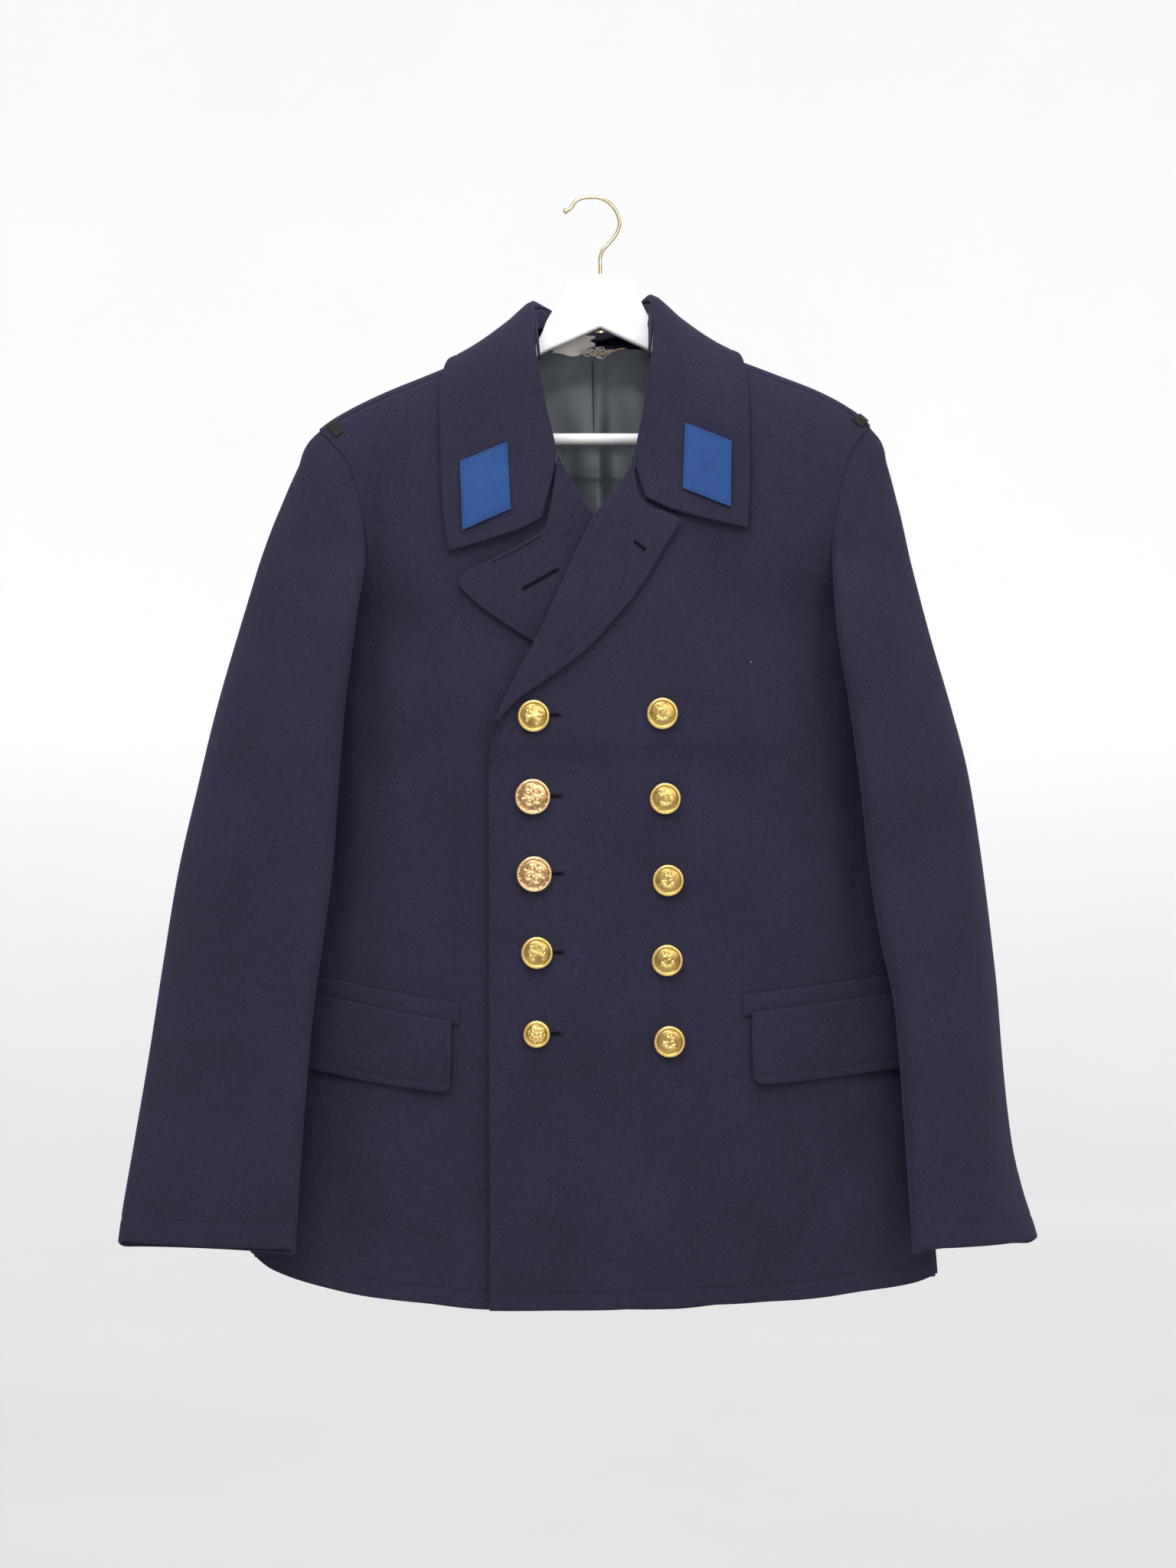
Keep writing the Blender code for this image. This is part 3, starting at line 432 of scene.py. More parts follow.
def tubes(name, paths, finish, sides=6, taper=True):
    """Round strands, each as (points, radius), in one mesh."""
    verts, faces = [], []
    for points, radius in paths:
        points = np.asarray(points, float)
        radii = np.broadcast_to(np.asarray(radius, float), (len(points),)).copy()
        if taper:
            radii[[0, -1]] *= 0.35
        tangents = unit(np.gradient(points, axis=0).T).T
        across = np.cross(tangents[0], (0.31, 0.52, 0.79))
        start = len(verts)
        for k, (point, tangent) in enumerate(zip(points, tangents)):
            across = unit(across - tangent * (across @ tangent))
            other = np.cross(tangent, across)
            for s in range(sides):
                angle = 2 * math.pi * s / sides
                out = math.cos(angle) * across + math.sin(angle) * other
                verts.append(point + radii[k] * out)
        faces += ring_faces(len(points), sides, start)
        faces.append(tuple(start + s for s in range(sides))[::-1])
        faces.append(tuple(start + (len(points) - 1) * sides + s for s in range(sides)))
    return piece(name, verts, faces, finish)


def stitches(name, lines, finish, length=2.4, gap=1.0, radius=0.28, sink=0.1):
    """Rows of stitches along lines of surface points, each line as (points, normals)."""
    paths = []
    for points, normals in lines:
        points, normals = np.asarray(points, float), np.asarray(normals, float)
        along = np.concatenate([[0], np.cumsum(np.linalg.norm(np.diff(points, axis=0), axis=1))])
        count = int(along[-1] / (length + gap))
        for k in range(count):
            at = (k + 0.5) * along[-1] / count + np.array((-0.5, -0.3, 0, 0.3, 0.5)) * length
            spot = np.stack([np.interp(at, along, points[:, c]) for c in range(3)], axis=1)
            out = np.stack([np.interp(at, along, normals[:, c]) for c in range(3)], axis=1)
            rise = np.array((-0.5, 0.5, 0.8, 0.5, -0.5))[:, None] * radius - sink
            paths.append((spot + out * rise, radius))
    return tubes(name, paths, finish)


def line_on(x, z, lift):
    """Points over a line of x and z on the front, lifted, and the directions out of the cloth."""
    base, above = front_point(x, z, lift), front_point(x, z, lift + 1)
    return base.T, (above - base).T


# --- Materials ------------------------------------------------------------------------------


class Nodes:
    """A small helper that builds a procedural material."""

    def __init__(self, name, **values):
        self.material = bpy.data.materials.new(name)
        self.material.use_nodes = True
        self.tree = self.material.node_tree
        self.shader = self.tree.nodes["Principled BSDF"]
        self.set(**values)
        self.where = self.add("ShaderNodeTexCoord").outputs["Object"]

    def feed(self, socket, value):
        """Links a socket to another one or sets its value. A colour is given without its alpha."""
        if isinstance(value, bpy.types.NodeSocket):
            self.tree.links.new(value, socket)
        else:
            socket.default_value = (*value, 1) if socket.type == "RGBA" else value

    def set(self, **values):
        for key, value in values.items():
            self.feed(self.shader.inputs[key.replace("_", " ")], value)

    def add(self, kind, links=None, **settings):
        node = self.tree.nodes.new(kind)
        for key, value in settings.items():
            setattr(node, key, value)
        for key, value in (links or {}).items():
            self.feed(node.inputs[key], value)
        return node

    def stretched(self, scale):
        links = {"Vector": self.where, "Scale": scale}
        return self.add("ShaderNodeMapping", links).outputs["Vector"]

    def noise(self, scale, detail=3.0, rough=0.6, vector=None, distortion=0.0):
        links = {"Vector": vector or self.where, "Scale": scale, "Detail": detail,
                 "Roughness": rough, "Distortion": distortion}
        return self.add("ShaderNodeTexNoise", links).outputs["Fac"]

    def wave(self, scale, distortion, direction):
        links = {"Vector": self.where, "Scale": scale, "Distortion": distortion}
        return self.add("ShaderNodeTexWave", links, bands_direction=direction).outputs["Fac"]

    def ramp(self, value, *stops):
        node = self.add("ShaderNodeValToRGB", {"Fac": value})
        points = node.color_ramp.elements
        for _ in range(len(stops) - 2):
            points.new(0.5)
        for point, (at, colour) in zip(points, stops):
            point.position = at
            point.color = (*colour, 1) if isinstance(colour, tuple) else (colour,) * 3 + (1,)
        return node.outputs["Color"]

    def blend(self, share, a, b, kind="MIX"):
        node = self.add("ShaderNodeMix", data_type="RGBA", blend_type=kind)
        for key, value in ((0, share), (6, a), (7, b)):
            self.feed(node.inputs[key], value)
        return node.outputs[2]

    def math(self, kind, a, b):
        return self.add("ShaderNodeMath", {0: a, 1: b}, operation=kind).outputs[0]

    def ranged(self, value, low, high, bottom=0.0):
        """The value's share of the way from low to high, mapped to bottom up to 1."""
        links = {"Value": value, "From Min": low, "From Max": high, "To Min": bottom}
        return self.add("ShaderNodeMapRange", links).outputs["Result"]

    def bump(self, height, strength, distance, below=None):
        links = {"Height": height, "Strength": strength, "Distance": distance * MM}
        if below is not None:
            links["Normal"] = below
        made = self.add("ShaderNodeBump", links).outputs["Normal"]
        self.set(Normal=made)
        return made


def brushed_wool(name, dark, light, specks=True, nap=1.0):
    """Dense cloth with a brushed nap: soft mottling, short fibres and a few specks of lint."""
    m = Nodes(name, Roughness=0.95, Sheen_Weight=0.14, Sheen_Roughness=0.5,
              Sheen_Tint=tuple(min(1, 9 * c) for c in light), Specular_IOR_Level=0.15)
    mottle = m.noise(420, 5, 0.7)
    cloud = m.noise(14, 3, 0.55)
    fibre = m.noise(900, 4, 0.7, m.stretched((1, 1, 0.35)), 0.6)
    share = m.math("ADD", m.math("MULTIPLY", mottle, 0.55), m.math("MULTIPLY", fibre, 0.45))
    colour = m.ramp(share, (0.32, dark), (0.68, light))
    shade = m.ramp(cloud, (0.3, (0.86, 0.86, 0.88)), (0.7, (1.06, 1.05, 1.07)))
    colour = m.blend(1.0, colour, shade, "MULTIPLY")
    if specks:
        dots = m.add("ShaderNodeTexVoronoi", {"Vector": m.where, "Scale": 75.0, "Randomness": 1.0})
        rare = m.math("GREATER_THAN", m.noise(31, 1, 0.5), 0.69)
        close = m.math("LESS_THAN", dots.outputs["Distance"], 0.035)
        colour = m.blend(m.math("MULTIPLY", rare, close), colour, (0.42, 0.4, 0.42))
    m.set(Base_Color=colour)
    low = m.bump(m.noise(260, 4, 0.6), 0.35 * nap, 0.9)
    m.bump(fibre, 0.55 * nap, 0.45, low)
    return m.material


def satin_lining(name):
    """Shiny lining with a fine diagonal weave, and long soft streaks of painted sheen that lighten
    its colour.
    """
    m = Nodes(name, Roughness=0.36, Specular_IOR_Level=0.6, Sheen_Weight=0.1, Anisotropic=0.5)
    sheen_streaks = m.noise(30, 3, 0.5, m.stretched((1, 1, 0.12)))
    # The long streaks lighten the base colour as painted sheen; they also vary the roughness.
    colour = m.ramp(sheen_streaks, (0.25, (0.042, 0.055, 0.072)), (0.75, (0.1, 0.121, 0.149)))
    weave = m.wave(900.0, 0.6, "DIAGONAL")
    m.set(Base_Color=m.blend(0.12, colour, m.ramp(weave, (0, 0.02), (1, 0.09))))
    m.set(Roughness=m.ramp(sheen_streaks, (0.2, 0.3), (0.8, 0.44)))
    low = m.bump(m.noise(22, 3, 0.5, m.stretched((1, 1, 0.3))), 0.5, 5.0)
    m.bump(weave, 0.12, 0.12, low)
    return m.material


def woven(name, dark, light, pitch=520.0, rough=0.85, depth=0.3):
    """Plain weave: two crossed waves give the threads."""
    m = Nodes(name, Roughness=rough, Specular_IOR_Level=0.25)
    threads = m.math("MULTIPLY", *(m.wave(pitch, 0.8, axis) for axis in "XZ"))
    dirt = m.noise(70, 4, 0.6)
    share = m.math("ADD", m.math("MULTIPLY", threads, 0.6), m.math("MULTIPLY", dirt, 0.4))
    m.set(Base_Color=m.ramp(share, (0.15, dark), (0.75, light)))
    m.bump(threads, 0.5, depth)
    return m.material


def thread(name, colour):
    """Twisted sewing thread."""
    m = Nodes(name, Roughness=0.8, Specular_IOR_Level=0.1)
    twist = m.noise(1500, 2, 0.6)
    dark = tuple(0.55 * c for c in colour)
    m.set(Base_Color=m.ramp(twist, (0.3, dark), (0.7, colour)))
    m.bump(twist, 0.4, 0.1)
    return m.material


def gilt(name, bright, deep, rough):
    """Gilt brass that has tarnished in the hollows of its relief and worn bright on the edges."""
    m = Nodes(name, Metallic=1.0, Roughness=rough)
    height = m.add("ShaderNodeAttribute", attribute_name="relief").outputs["Fac"]
    grain = m.noise(900, 4, 0.6)
    stain = m.noise(160, 4, 0.65)
    level = m.math("ADD", m.math("MULTIPLY", height, 0.8), m.math("MULTIPLY", stain, 0.25))
    m.set(Base_Color=m.ramp(level, (0.12, deep), (0.62, bright)))
    m.set(Roughness=m.ramp(stain, (0.3, rough - 0.06), (0.75, rough + 0.14)))
    m.bump(grain, 0.16, 0.12)
    return m.material


def painted_wood(name):
    """White paint that shows a little of the wood's grain and a few drips."""
    m = Nodes(name, Roughness=0.38, Specular_IOR_Level=0.45, Coat_Weight=0.15, Coat_Roughness=0.25)
    grain = m.noise(24, 4, 0.6, m.stretched((0.5, 1, 6)))
    drip = m.noise(60, 3, 0.55)
    m.set(Base_Color=m.ramp(grain, (0.25, (0.80, 0.80, 0.79)), (0.75, (0.88, 0.88, 0.875))))
    m.set(Roughness=m.ramp(drip, (0.3, 0.3), (0.7, 0.46)))
    m.bump(grain, 0.12, 0.5, m.bump(drip, 0.12, 0.7))
    return m.material


def brass_wire(name):
    """Pale polished brass with faint stains."""
    m = Nodes(name, Metallic=1.0, Roughness=0.24)
    stain = m.noise(300, 4, 0.65)
    colour = m.ramp(stain, (0.3, (0.55, 0.44, 0.24)), (0.7, (0.86, 0.76, 0.52)))
    m.set(Base_Color=colour, Roughness=m.ramp(stain, (0.3, 0.34), (0.7, 0.18)))
    m.bump(m.noise(700, 3, 0.6), 0.1, 0.1)
    return m.material


def backdrop_paint(name):
    """Pale paint that glows behind the jacket, and less towards the floor."""
    m = Nodes(name, Roughness=0.9, Specular_IOR_Level=0.1, Emission_Color=(1, 1, 1))
    m.set(Base_Color=m.ramp(m.noise(1.5, 3, 0.5), (0.3, 0.80), (0.7, 0.83)))
    _, y, z = m.add("ShaderNodeSeparateXYZ", {"Vector": m.where}).outputs
    glow = m.math("MULTIPLY", m.ranged(y, 0.5, 4.0), m.ranged(z, -1.5, -0.3, 0.5))
    m.set(Emission_Strength=m.math("MULTIPLY", glow, WALL_GLOW))
    return m.material


WOOL = brushed_wool("navy_melton", (0.0135, 0.0125, 0.027), (0.031, 0.0285, 0.055))
FELT = brushed_wool("blue_felt_nap", (0.019, 0.052, 0.169), (0.03, 0.083, 0.245), False, 0.6)
SATIN = satin_lining("green_satin_lining")
CANVAS = woven("canvas_weave", (0.26, 0.23, 0.17), (0.5, 0.46, 0.37))
RIBBON = woven("ribbon_weave", (0.006, 0.006, 0.005), (0.028, 0.027, 0.02), 420.0, 0.6)
LABEL = woven("label_weave", (0.74, 0.67, 0.60), (0.93, 0.88, 0.83), 640.0)
NAVY_THREAD = thread("navy_thread", (0.02, 0.018, 0.038))
BLACK_THREAD = thread("black_thread", (0.0065, 0.006, 0.010))
BLUE_THREAD = thread("blue_thread", (0.012, 0.05, 0.17))
SEAM_THREAD = thread("slate_thread", (0.012, 0.016, 0.02))
TAN_THREAD = thread("tan_string", (0.72, 0.54, 0.34))
WHITE_THREAD = thread("white_thread", (0.92, 0.87, 0.83))
RED_THREAD = thread("red_thread", (0.72, 0.10, 0.10))
GOLD = gilt("satin_gilt", (0.80, 0.56, 0.19), (0.22, 0.12, 0.03), 0.27)
ROSE = gilt("rose_gilt", (0.88, 0.58, 0.30), (0.25, 0.11, 0.04), 0.22)
BRASS = brass_wire("hook_brass_wire")
PAINT = painted_wood("white_paint_on_wood")
BACKDROP = backdrop_paint("pale_backdrop")


# --- Body panels ----------------------------------------------------------------------------


def per_side(make):
    """Turns a maker of one side's pieces into one that makes both sides."""
    def make_both():
        for which, name in SIDES.items():
            make(which, name)

    return make_both


def outer_edge(which, face, z):
    return which * (np.where(z > ARMPIT, armhole[which, face](z), side(z)) - EDGE_GAP)


def shoulder_corner(which, margin):
    """The x of a front's corner between its shoulder seam and its armhole, and its height."""
    x = SHOULDER_END
    for _ in range(12):
        edge = abs(float(outer_edge(which, FRONT, ridge(which * x) - SHOULDER_DROP)))
        x = (x + edge - margin) / 2
    return which * x, ridge(which * x) - SHOULDER_DROP


def front_place(which, inner, u, v, margin=0.0):
    """x and z on a front between its inner edge, given over z, and its armhole and side."""
    v = 1 - (1 - v) ** ROWS_TO_TOP
    z_in = mix(HEM, NECK_TOP, v)
    corner_x, corner = shoulder_corner(which, margin)
    z_out = mix(HEM, corner, v)
    outer = outer_edge(which, FRONT, z_out)
    x = mix(inner(z_in), outer - which * margin, np.sin(u * math.pi / 2))
    share = (x - inner(z_in)) / (outer - inner(z_in))
    z = mix(z_in, z_out, share)
    on_seam = mix(inner(NECK_TOP), corner_x, share)
    z = z + (ridge(on_seam) - SHOULDER_DROP - mix(NECK_TOP, corner, share)) * v**4
    return x, z + (hem[FRONT](x) - HEM) * (1 - v) ** 6


def inner_edge(which, pull=0.0):
    """The inner edge of a front over z, pulled back from the lapel's roll by so much."""
    def edge(z):
        return which * (roll_line[which](z) + pull * smooth(z, ROLL_START - 20, ROLL_START + 30))

    return edge


@per_side
def fronts(which, name):
    def shape(u, v):
        x, z = front_place(which, inner_edge(which, UNDER_LAPEL), u, v)
        return front_point(x, z, front_lift(which, x, z))

    wool = slab(f"front_{name}_wool", shape, WOOL, seams={"v": (HEM_STITCH,)}, depth=0.7)
    dress(wool, "jacket", [f"front_{name}"])

    def behind(u, v):
        z = mix(HEM + 2, -306, v)
        x = which * mix(roll_line[which](z) + 0.6, roll_line[which](z) + 70 - 25 * v, u)
        return front_point(x, z, front_lift(which, x, z) - CLOTH - 0.2)

    facing = slab(f"facing_{name}_wool", behind, WOOL, thickness=1.6, step=7)
    dress(facing, "jacket", [f"facing_{name}"])

    def lined(u, v):
        def inner(z):
            return which * np.maximum(roll_line[which](z) + 74, 58)

        x, z = front_place(which, inner, u, 0.02 + 0.93 * v, 9)
        return front_point(x, z, LINING_LIFT - GAP)

    lining = slab(f"front_lining_{name}_satin", lined, SATIN, thickness=THIN, step=7)
    dress(lining, "jacket", [f"front_lining_{name}"])


def back_turn(x, v, low, neck_end):
    neck = turn_at(x, NECK_SEAM + 0 * x, BACK)
    crest = -math.acos(1 - SHOULDER_SEAM / SHOULDER_ROUND)
    top = mix(neck, crest, smooth(np.abs(x), neck_end - 36, neck_end))
    return mix(turn_at(x, low, BACK), top, 1 - (1 - v) ** ROWS_TO_TOP)


def back_shape(which, inner, low, margin, lift, neck_end):
    def shape(u, v):
        reach = which * 200.0 + 0 * v
        for _ in range(3):
            z = over_shoulder(reach, back_turn(reach, v, low(reach), neck_end))[2]
            reach = outer_edge(which, BACK, z) - which * margin
        x = mix(which * inner, reach, (u + np.sin(u * math.pi / 2)) / 2)
        return placed(x, back_turn(x, v, low(x), neck_end), lift)

    return shape


@per_side
def backs(which, name):
    shape = back_shape(which, EDGE_GAP, hem[BACK], 0, 0, 66)
    wool = slab(f"back_{name}_wool", shape, WOOL, seams={"v": (HEM_STITCH,)}, depth=0.7)
    dress(wool, "jacket", [f"back_{name}"])


def back_lining():
    """The lining of the back in one piece, with a pleat, a cross seam and a centre seam."""
    halves = {which: back_shape(which, 0, lambda x: hem[BACK](x) + 14, 10, LINING_LIFT, 76)
              for which in SIDES}

    def shape(u, v):
        made = np.where(u < 0.5, halves[RIGHT](1 - 2 * np.minimum(u, 0.5), v),
                        halves[LEFT](2 * np.maximum(u, 0.5) - 1, v))
        x, z = made[0], made[2]
        level = smooth(z, -300, -225)
        pleat = 1.2 * hill(x - 4.5, 4.0)
        cross = 1.0 * hill(z + 216 + 0.03 * x, 3.0)
        sag = 1.6 * np.sin(0.13 * x + 0.02 * z) * smooth(-z, 130, 200)
        shine = 2.6 * hill((x - 14) + 0.35 * (z + 232), 6) * (1 - level)
        made[1] = made[1] - (pleat + cross + sag + shine) * (np.abs(x) < 74)
        return made

    lining = slab("back_lining_satin", shape, SATIN, thickness=THIN, step=3.6)
    dress(lining, "jacket", ["back_lining"])
    z = np.linspace(-121, -700, 90)
    x = -0.6 + 1.1 * np.sin(z * 0.02)
    centre = raised(x, turn_at(x, z, BACK), LINING_FACE - 0.7 - 1.6 * hill(z + 216, 5))
    seam = tubes("lining_centre_seam", [(centre.T, 0.42)], SEAM_THREAD)
    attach(seam, "jacket")


@per_side
def shoulder_pads(which, name):
    def shape(u, v):
        x = which * mix(96, 196 + 18 * np.cos((v - 0.5) * math.pi), u)
        return placed(x, mix(-1.3, 1.1, v), PAD_LIFT)

    pad = slab(f"shoulder_pad_{name}_wadding", shape, CANVAS, thickness=PAD, step=5, rim=1.0)
    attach(pad, "jacket")
    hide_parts(f"shoulder_pad_{name}")


# --- Collar and lapels ----------------------------------------------------------------------


def front_turn(x, z):
    return float(turn_at(float(x), float(z), FRONT))


def edge_line(*rows):
    """An edge of the collar from one front to the other: profiles of its x and its turn over the
    shoulder. Each row has t, x and the turn, or instead of the turn the x and z of a point whose
    turn it takes."""
    return profiles(*((t, x, front_turn(*turn) if isinstance(turn, tuple) else turn)
                      for t, x, turn in rows))


collar_roll_x, collar_roll_turn = edge_line(
    (-1, -40, (-40, -257)), (-0.85, -29.5, (-29, -207)), (-0.7, -37, (-38, -168)),
    (-0.5, -43, (-43, -124)), (-0.36, -39, 0), (-0.2, -28, 0.55), (0, 0, 0.8), (0.2, 27, 0.55),
    (0.36, 36, 0), (0.5, 43, (43, -122)), (0.7, 38, (38, -168)), (0.85, 31.5, (31, -209)),
    (1, 39, (39, -241)))
collar_edge_x, collar_edge_turn = edge_line(
    (-1, -113, (-113, -282)), (-0.85, -118, (-118, -240)), (-0.6, -120, (-120, -170)),
    (-0.36, -112, 0), (-0.2, -66, 1.08), (0, 0, 1.6), (0.2, 66, 1.08), (0.36, 112, 0),
    (0.6, 120, (120, -165)), (0.85, 121, (121, -222)), (1, 119, (119, -264)))
collar_roll_height = profile((-1, 0), (-0.7, 1), (-0.36, 16), (-0.2, 22), (0, 24), (0.2, 22),
                             (0.36, 18), (0.7, 1), (1, 0))


def collar_place(t, u):
    return (mix(collar_roll_x(t), collar_edge_x(t), u),
            mix(collar_roll_turn(t), collar_edge_turn(t), u))


def collar_lift(t, u):
    """The collar's height: it stands up at its roll and lies down at its outer edge."""
    x, turn = collar_place(t, u)
    z = over_shoulder(x, turn)[2]
    stand = collar_roll_height(t) * (1 - smooth(u, -0.3, 0.9))
    crown = 1.6 * np.sin(np.clip(u, 0, 1) * math.pi)
    return COLLAR_LIFT + stand + crown + np.where(t > 0.5, overlap_lift(x, z), 0)


def collar_surface(u, v):
    t = 2 * v - 1
    x, turn = collar_place(t, u)
    return placed(x, turn, collar_lift(t, u))


def rolled(surface, radius, share=0.16):
    """A surface with a round roll at its u = 0 side, which turns it under by half a circle."""
    def shape(u, v):
        start, near = surface(0 * v, v), surface(0.03 + 0 * v, v)
        ahead = surface(0 * v, np.minimum(v + 0.004, 1)) - surface(0 * v, np.maximum(v - 0.004, 0))
        out = unit(np.cross(near - start, ahead, axis=0))
        sign = np.sign((out * (start - np.stack([start[0], 4 + 0 * u, start[2] - 30]))).sum(axis=0))
        out = out * sign
        into = unit(start - near)
        width = np.linalg.norm(surface(1 + 0 * v, v) - start, axis=0)
        round_by = np.minimum(radius(v), 0.4 * width)
        angle = mix(-math.pi / 2, math.pi / 2, np.clip(u / share, 0, 1))
        centre = start - (into + out) * round_by
        turned = centre + (into * np.cos(angle) + out * np.sin(angle)) * round_by
        begin = round_by / width
        flat = surface(mix(begin, 1, np.clip((u - share) / (1 - share), 0, 1)), v)
        return np.where(u < share, turned, flat)

    return shape


def collar():
    def radius(v):
        t = np.abs(2 * v - 1)
        return mix(3.6, 1.5, smooth(t, 0.72, 0.88))

    shape = rolled(collar_surface, radius, 0.12)
    top = slab("top_collar_wool", shape, WOOL, thickness=3.2, step=3.6, seams={"U": (7.5,)},
               depth=0.45, rim=1.6)
    dress(top, "jacket", ["top_collar"])

    def stand(u, v):
        t = mix(-0.5, 0.5, v)
        x = collar_roll_x(t)
        past_wood = np.sign(t) * hill(np.abs(t) - 0.36, 0.1)
        low = raised(x + 8 * past_wood, collar_roll_turn(t) * 1.12, -2.5)
        tall = np.maximum(collar_lift(t, 0 * t) - 7.5, -1.5)
        high = raised(x + 3 * past_wood, collar_roll_turn(t), tall)
        bow = 0.8 * np.sin(u * math.pi)
        return mix(low, high, u) + np.stack([0 * u, -bow, 0 * u])

    band = slab("collar_stand_wool", stand, WOOL, thickness=1.8, step=3,
                inside=lambda p: np.stack([0 * p[0], 0 * p[1], p[2]]))
    dress(band, "jacket", ["collar_stand"])


# The outer edge of each lapel, as x and z, from the notch under the collar down to the buttons.
lapel_edge = {
    LEFT: profiles((0, 30, -209), (0.15, 36.5, -244), (0.3, 66, -259), (0.4, 53, -282),
                   (0.5, 37.5, -308), (0.6, 15, -337), (0.7, -8, -362), (0.8, -32.5, -381),
                   (0.9, -57, -399), (1, -77, -421)),
    RIGHT: profiles((0, -28.5, -208), (0.15, -38, -263), (0.3, -106, -304), (0.4, -95, -319),
                    (0.5, -73, -336), (0.6, -47, -353), (0.7, -16, -371), (0.8, 16, -388),
                    (0.9, 46, -404), (1, 71, -421)),
}


def lapel_surface(which):
    def surface(u, v):
        z_in = mix(-210, -414, v**1.1)
        edge_x, edge_z = (edge(v) for edge in lapel_edge[which])
        x, z = mix(which * roll_line[which](z_in), edge_x, u), mix(z_in, edge_z, u)
        curl = 2.2 * hill(v - 0.3, 0.05) * smooth(u, 0.8, 1) if which == LEFT else 0
        crown = 1.2 * np.sin(np.clip(u, 0, 1) * math.pi)
        return front_point(x, z, front_lift(which, x, z) + FOLD_LIFT + curl + crown)

    return surface


@per_side
def lapels(which, name):
    def radius(v):
        return mix(1.6, 5.4, smooth(v, 0.02, 0.14) * (1 - smooth(v, 0.86, 0.99)))

    shape = rolled(lapel_surface(which), radius, 0.17)
    wool = slab(f"lapel_{name}_wool", shape, WOOL, step=3.4, rims="UvV", seams={"U": (7.0,)},
                thickness=lambda u, v: mix(0.6, 3.2, smooth(v, 0, 0.07)), depth=0.7, rim=1.6)
    dress(wool, "jacket", [f"lapel_{name}"])


# --- Trim -----------------------------------------------------------------------------------

# Corners as x and z: the inner and outer one at v = 1, and then those at v = 0.
PATCH_CORNERS = {LEFT: ((70, -183), (106, -197), (68, -234), (105, -248)),
                 RIGHT: ((-67, -198), (-103.5, -213), (-64, -250), (-101, -266))}
LOOP_CORNERS = {LEFT: ((209.5, -183), (202, -176.5), (216.5, -176.5), (209.5, -171)),
                RIGHT: ((-202.5, -191.5), (-196.5, -187), (-210, -181), (-204.5, -176.5))}


def between(corners, u, v):
    """x and z between four corners."""
    top_in, top_out, low_in, low_out = corners
    return (mix(mix(low_in[k], low_out[k], u), mix(top_in[k], top_out[k], u), v) for k in (0, 1))


@per_side
def patches(which, name):
    def place(u, v, lift=TRIM):
        x, z = between(PATCH_CORNERS[which], u, v)
        return front_point(x, z, PATCH_LIFT + lift + front_lift(which, x, z))

    felt = slab(f"collar_patch_{name}_felt", place, FELT, thickness=TRIM, step=2.2, rim=0.5,
                seams={key: (1.6,) for key in "uUvV"}, depth=0.22)
    dress(felt, "jacket", [f"collar_patch_{name}"])
    lines = []
    run = np.linspace(0.045, 0.955, 60)
    for u, v in ((run, 0.035 + 0 * run), (run, 0.965 + 0 * run), (0.045 + 0 * run, run),
                 (0.955 + 0 * run, run)):
        low, high = place(u, v, TRIM - 0.2), place(u, v, TRIM + 0.8)
        lines.append((low.T, (high - low).T))
    sewn = stitches(f"collar_patch_{name}_stitches", lines, BLUE_THREAD, 1.5, 0.9, 0.2)
    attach(sewn, "jacket")


@per_side
def shoulder_loops(which, name):
    def shape(u, v):
        x, z = between(LOOP_CORNERS[which], u, v)
        return raised(x, turn_at(x, z, FRONT), TRIM + 0.3 + 0.7 * np.sin(v * math.pi))

    loop = slab(f"shoulder_loop_{name}_ribbon", shape, RIBBON, thickness=TRIM, step=1.8, rim=0.5,
                seams={"v": (2.0,), "V": (2.0,)}, depth=0.3)
    dress(loop, "jacket", [f"shoulder_loop_{name}"])


def neck_label():
    def surface(x, z, lift=0.0):
        return raised(x, turn_at(x, z, BACK), LINING_FACE - 1.0 - lift)

    def shape(u, v):
        x = mix(-35, -1, u) + 2.5 * np.sin(v * 9) * smooth(u, 0.8, 1)
        low = -116 + 1.6 * np.sin(u * 7 + 1) + 5 * smooth(u, 0.6, 1)
        return surface(x, mix(low, -100, v), 0.5 * np.sin(5 * u + 3 * v))

    label = slab("neck_label_cloth", shape, LABEL, thickness=0.5, step=1.4, rim=0.25,
                 inside=lambda p: np.stack([p[0], p[1] + 20, p[2]]))
    dress(label, "jacket", ["neck_label"])
    draw = np.random.default_rng(7)
    made = {"white": [], "red": [], "tan": []}
    for k in range(26):
        x0, z0 = draw.uniform(-12, 7), draw.uniform(-117.5, -110.5)
        turns, size = draw.uniform(0.6, 1.4), draw.uniform(1.4, 3.6)
        angle = np.linspace(0, turns * 2 * math.pi, 26) + draw.uniform(0, 6)
        x = x0 + size * np.cos(angle) + np.linspace(0, 3, 26)
        z = z0 + 0.6 * size * np.sin(angle)
        lift = 1.2 + 0.7 * np.sin(angle * 1.3)
        made["red" if k % 5 == 2 else "white"].append((surface(x, z, lift).T, 0.28))
    for k in range(5):
        x = np.linspace(0 + 2 * k, 27 - 1.5 * k, 20)
        z = mix(-114.5 - 0.5 * k, -110, np.linspace(0, 1, 20)) + 0.5 * np.sin(x * 0.6 + k)
        made["tan"].append((surface(x, z, 1.6 + 0.3 * k + 0 * x).T, 0.42))
    for key, finish in (("white", WHITE_THREAD), ("red", RED_THREAD), ("tan", TAN_THREAD)):
        frayed = tubes(f"label_{key}_threads", made[key], finish)
        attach(frayed, "jacket")


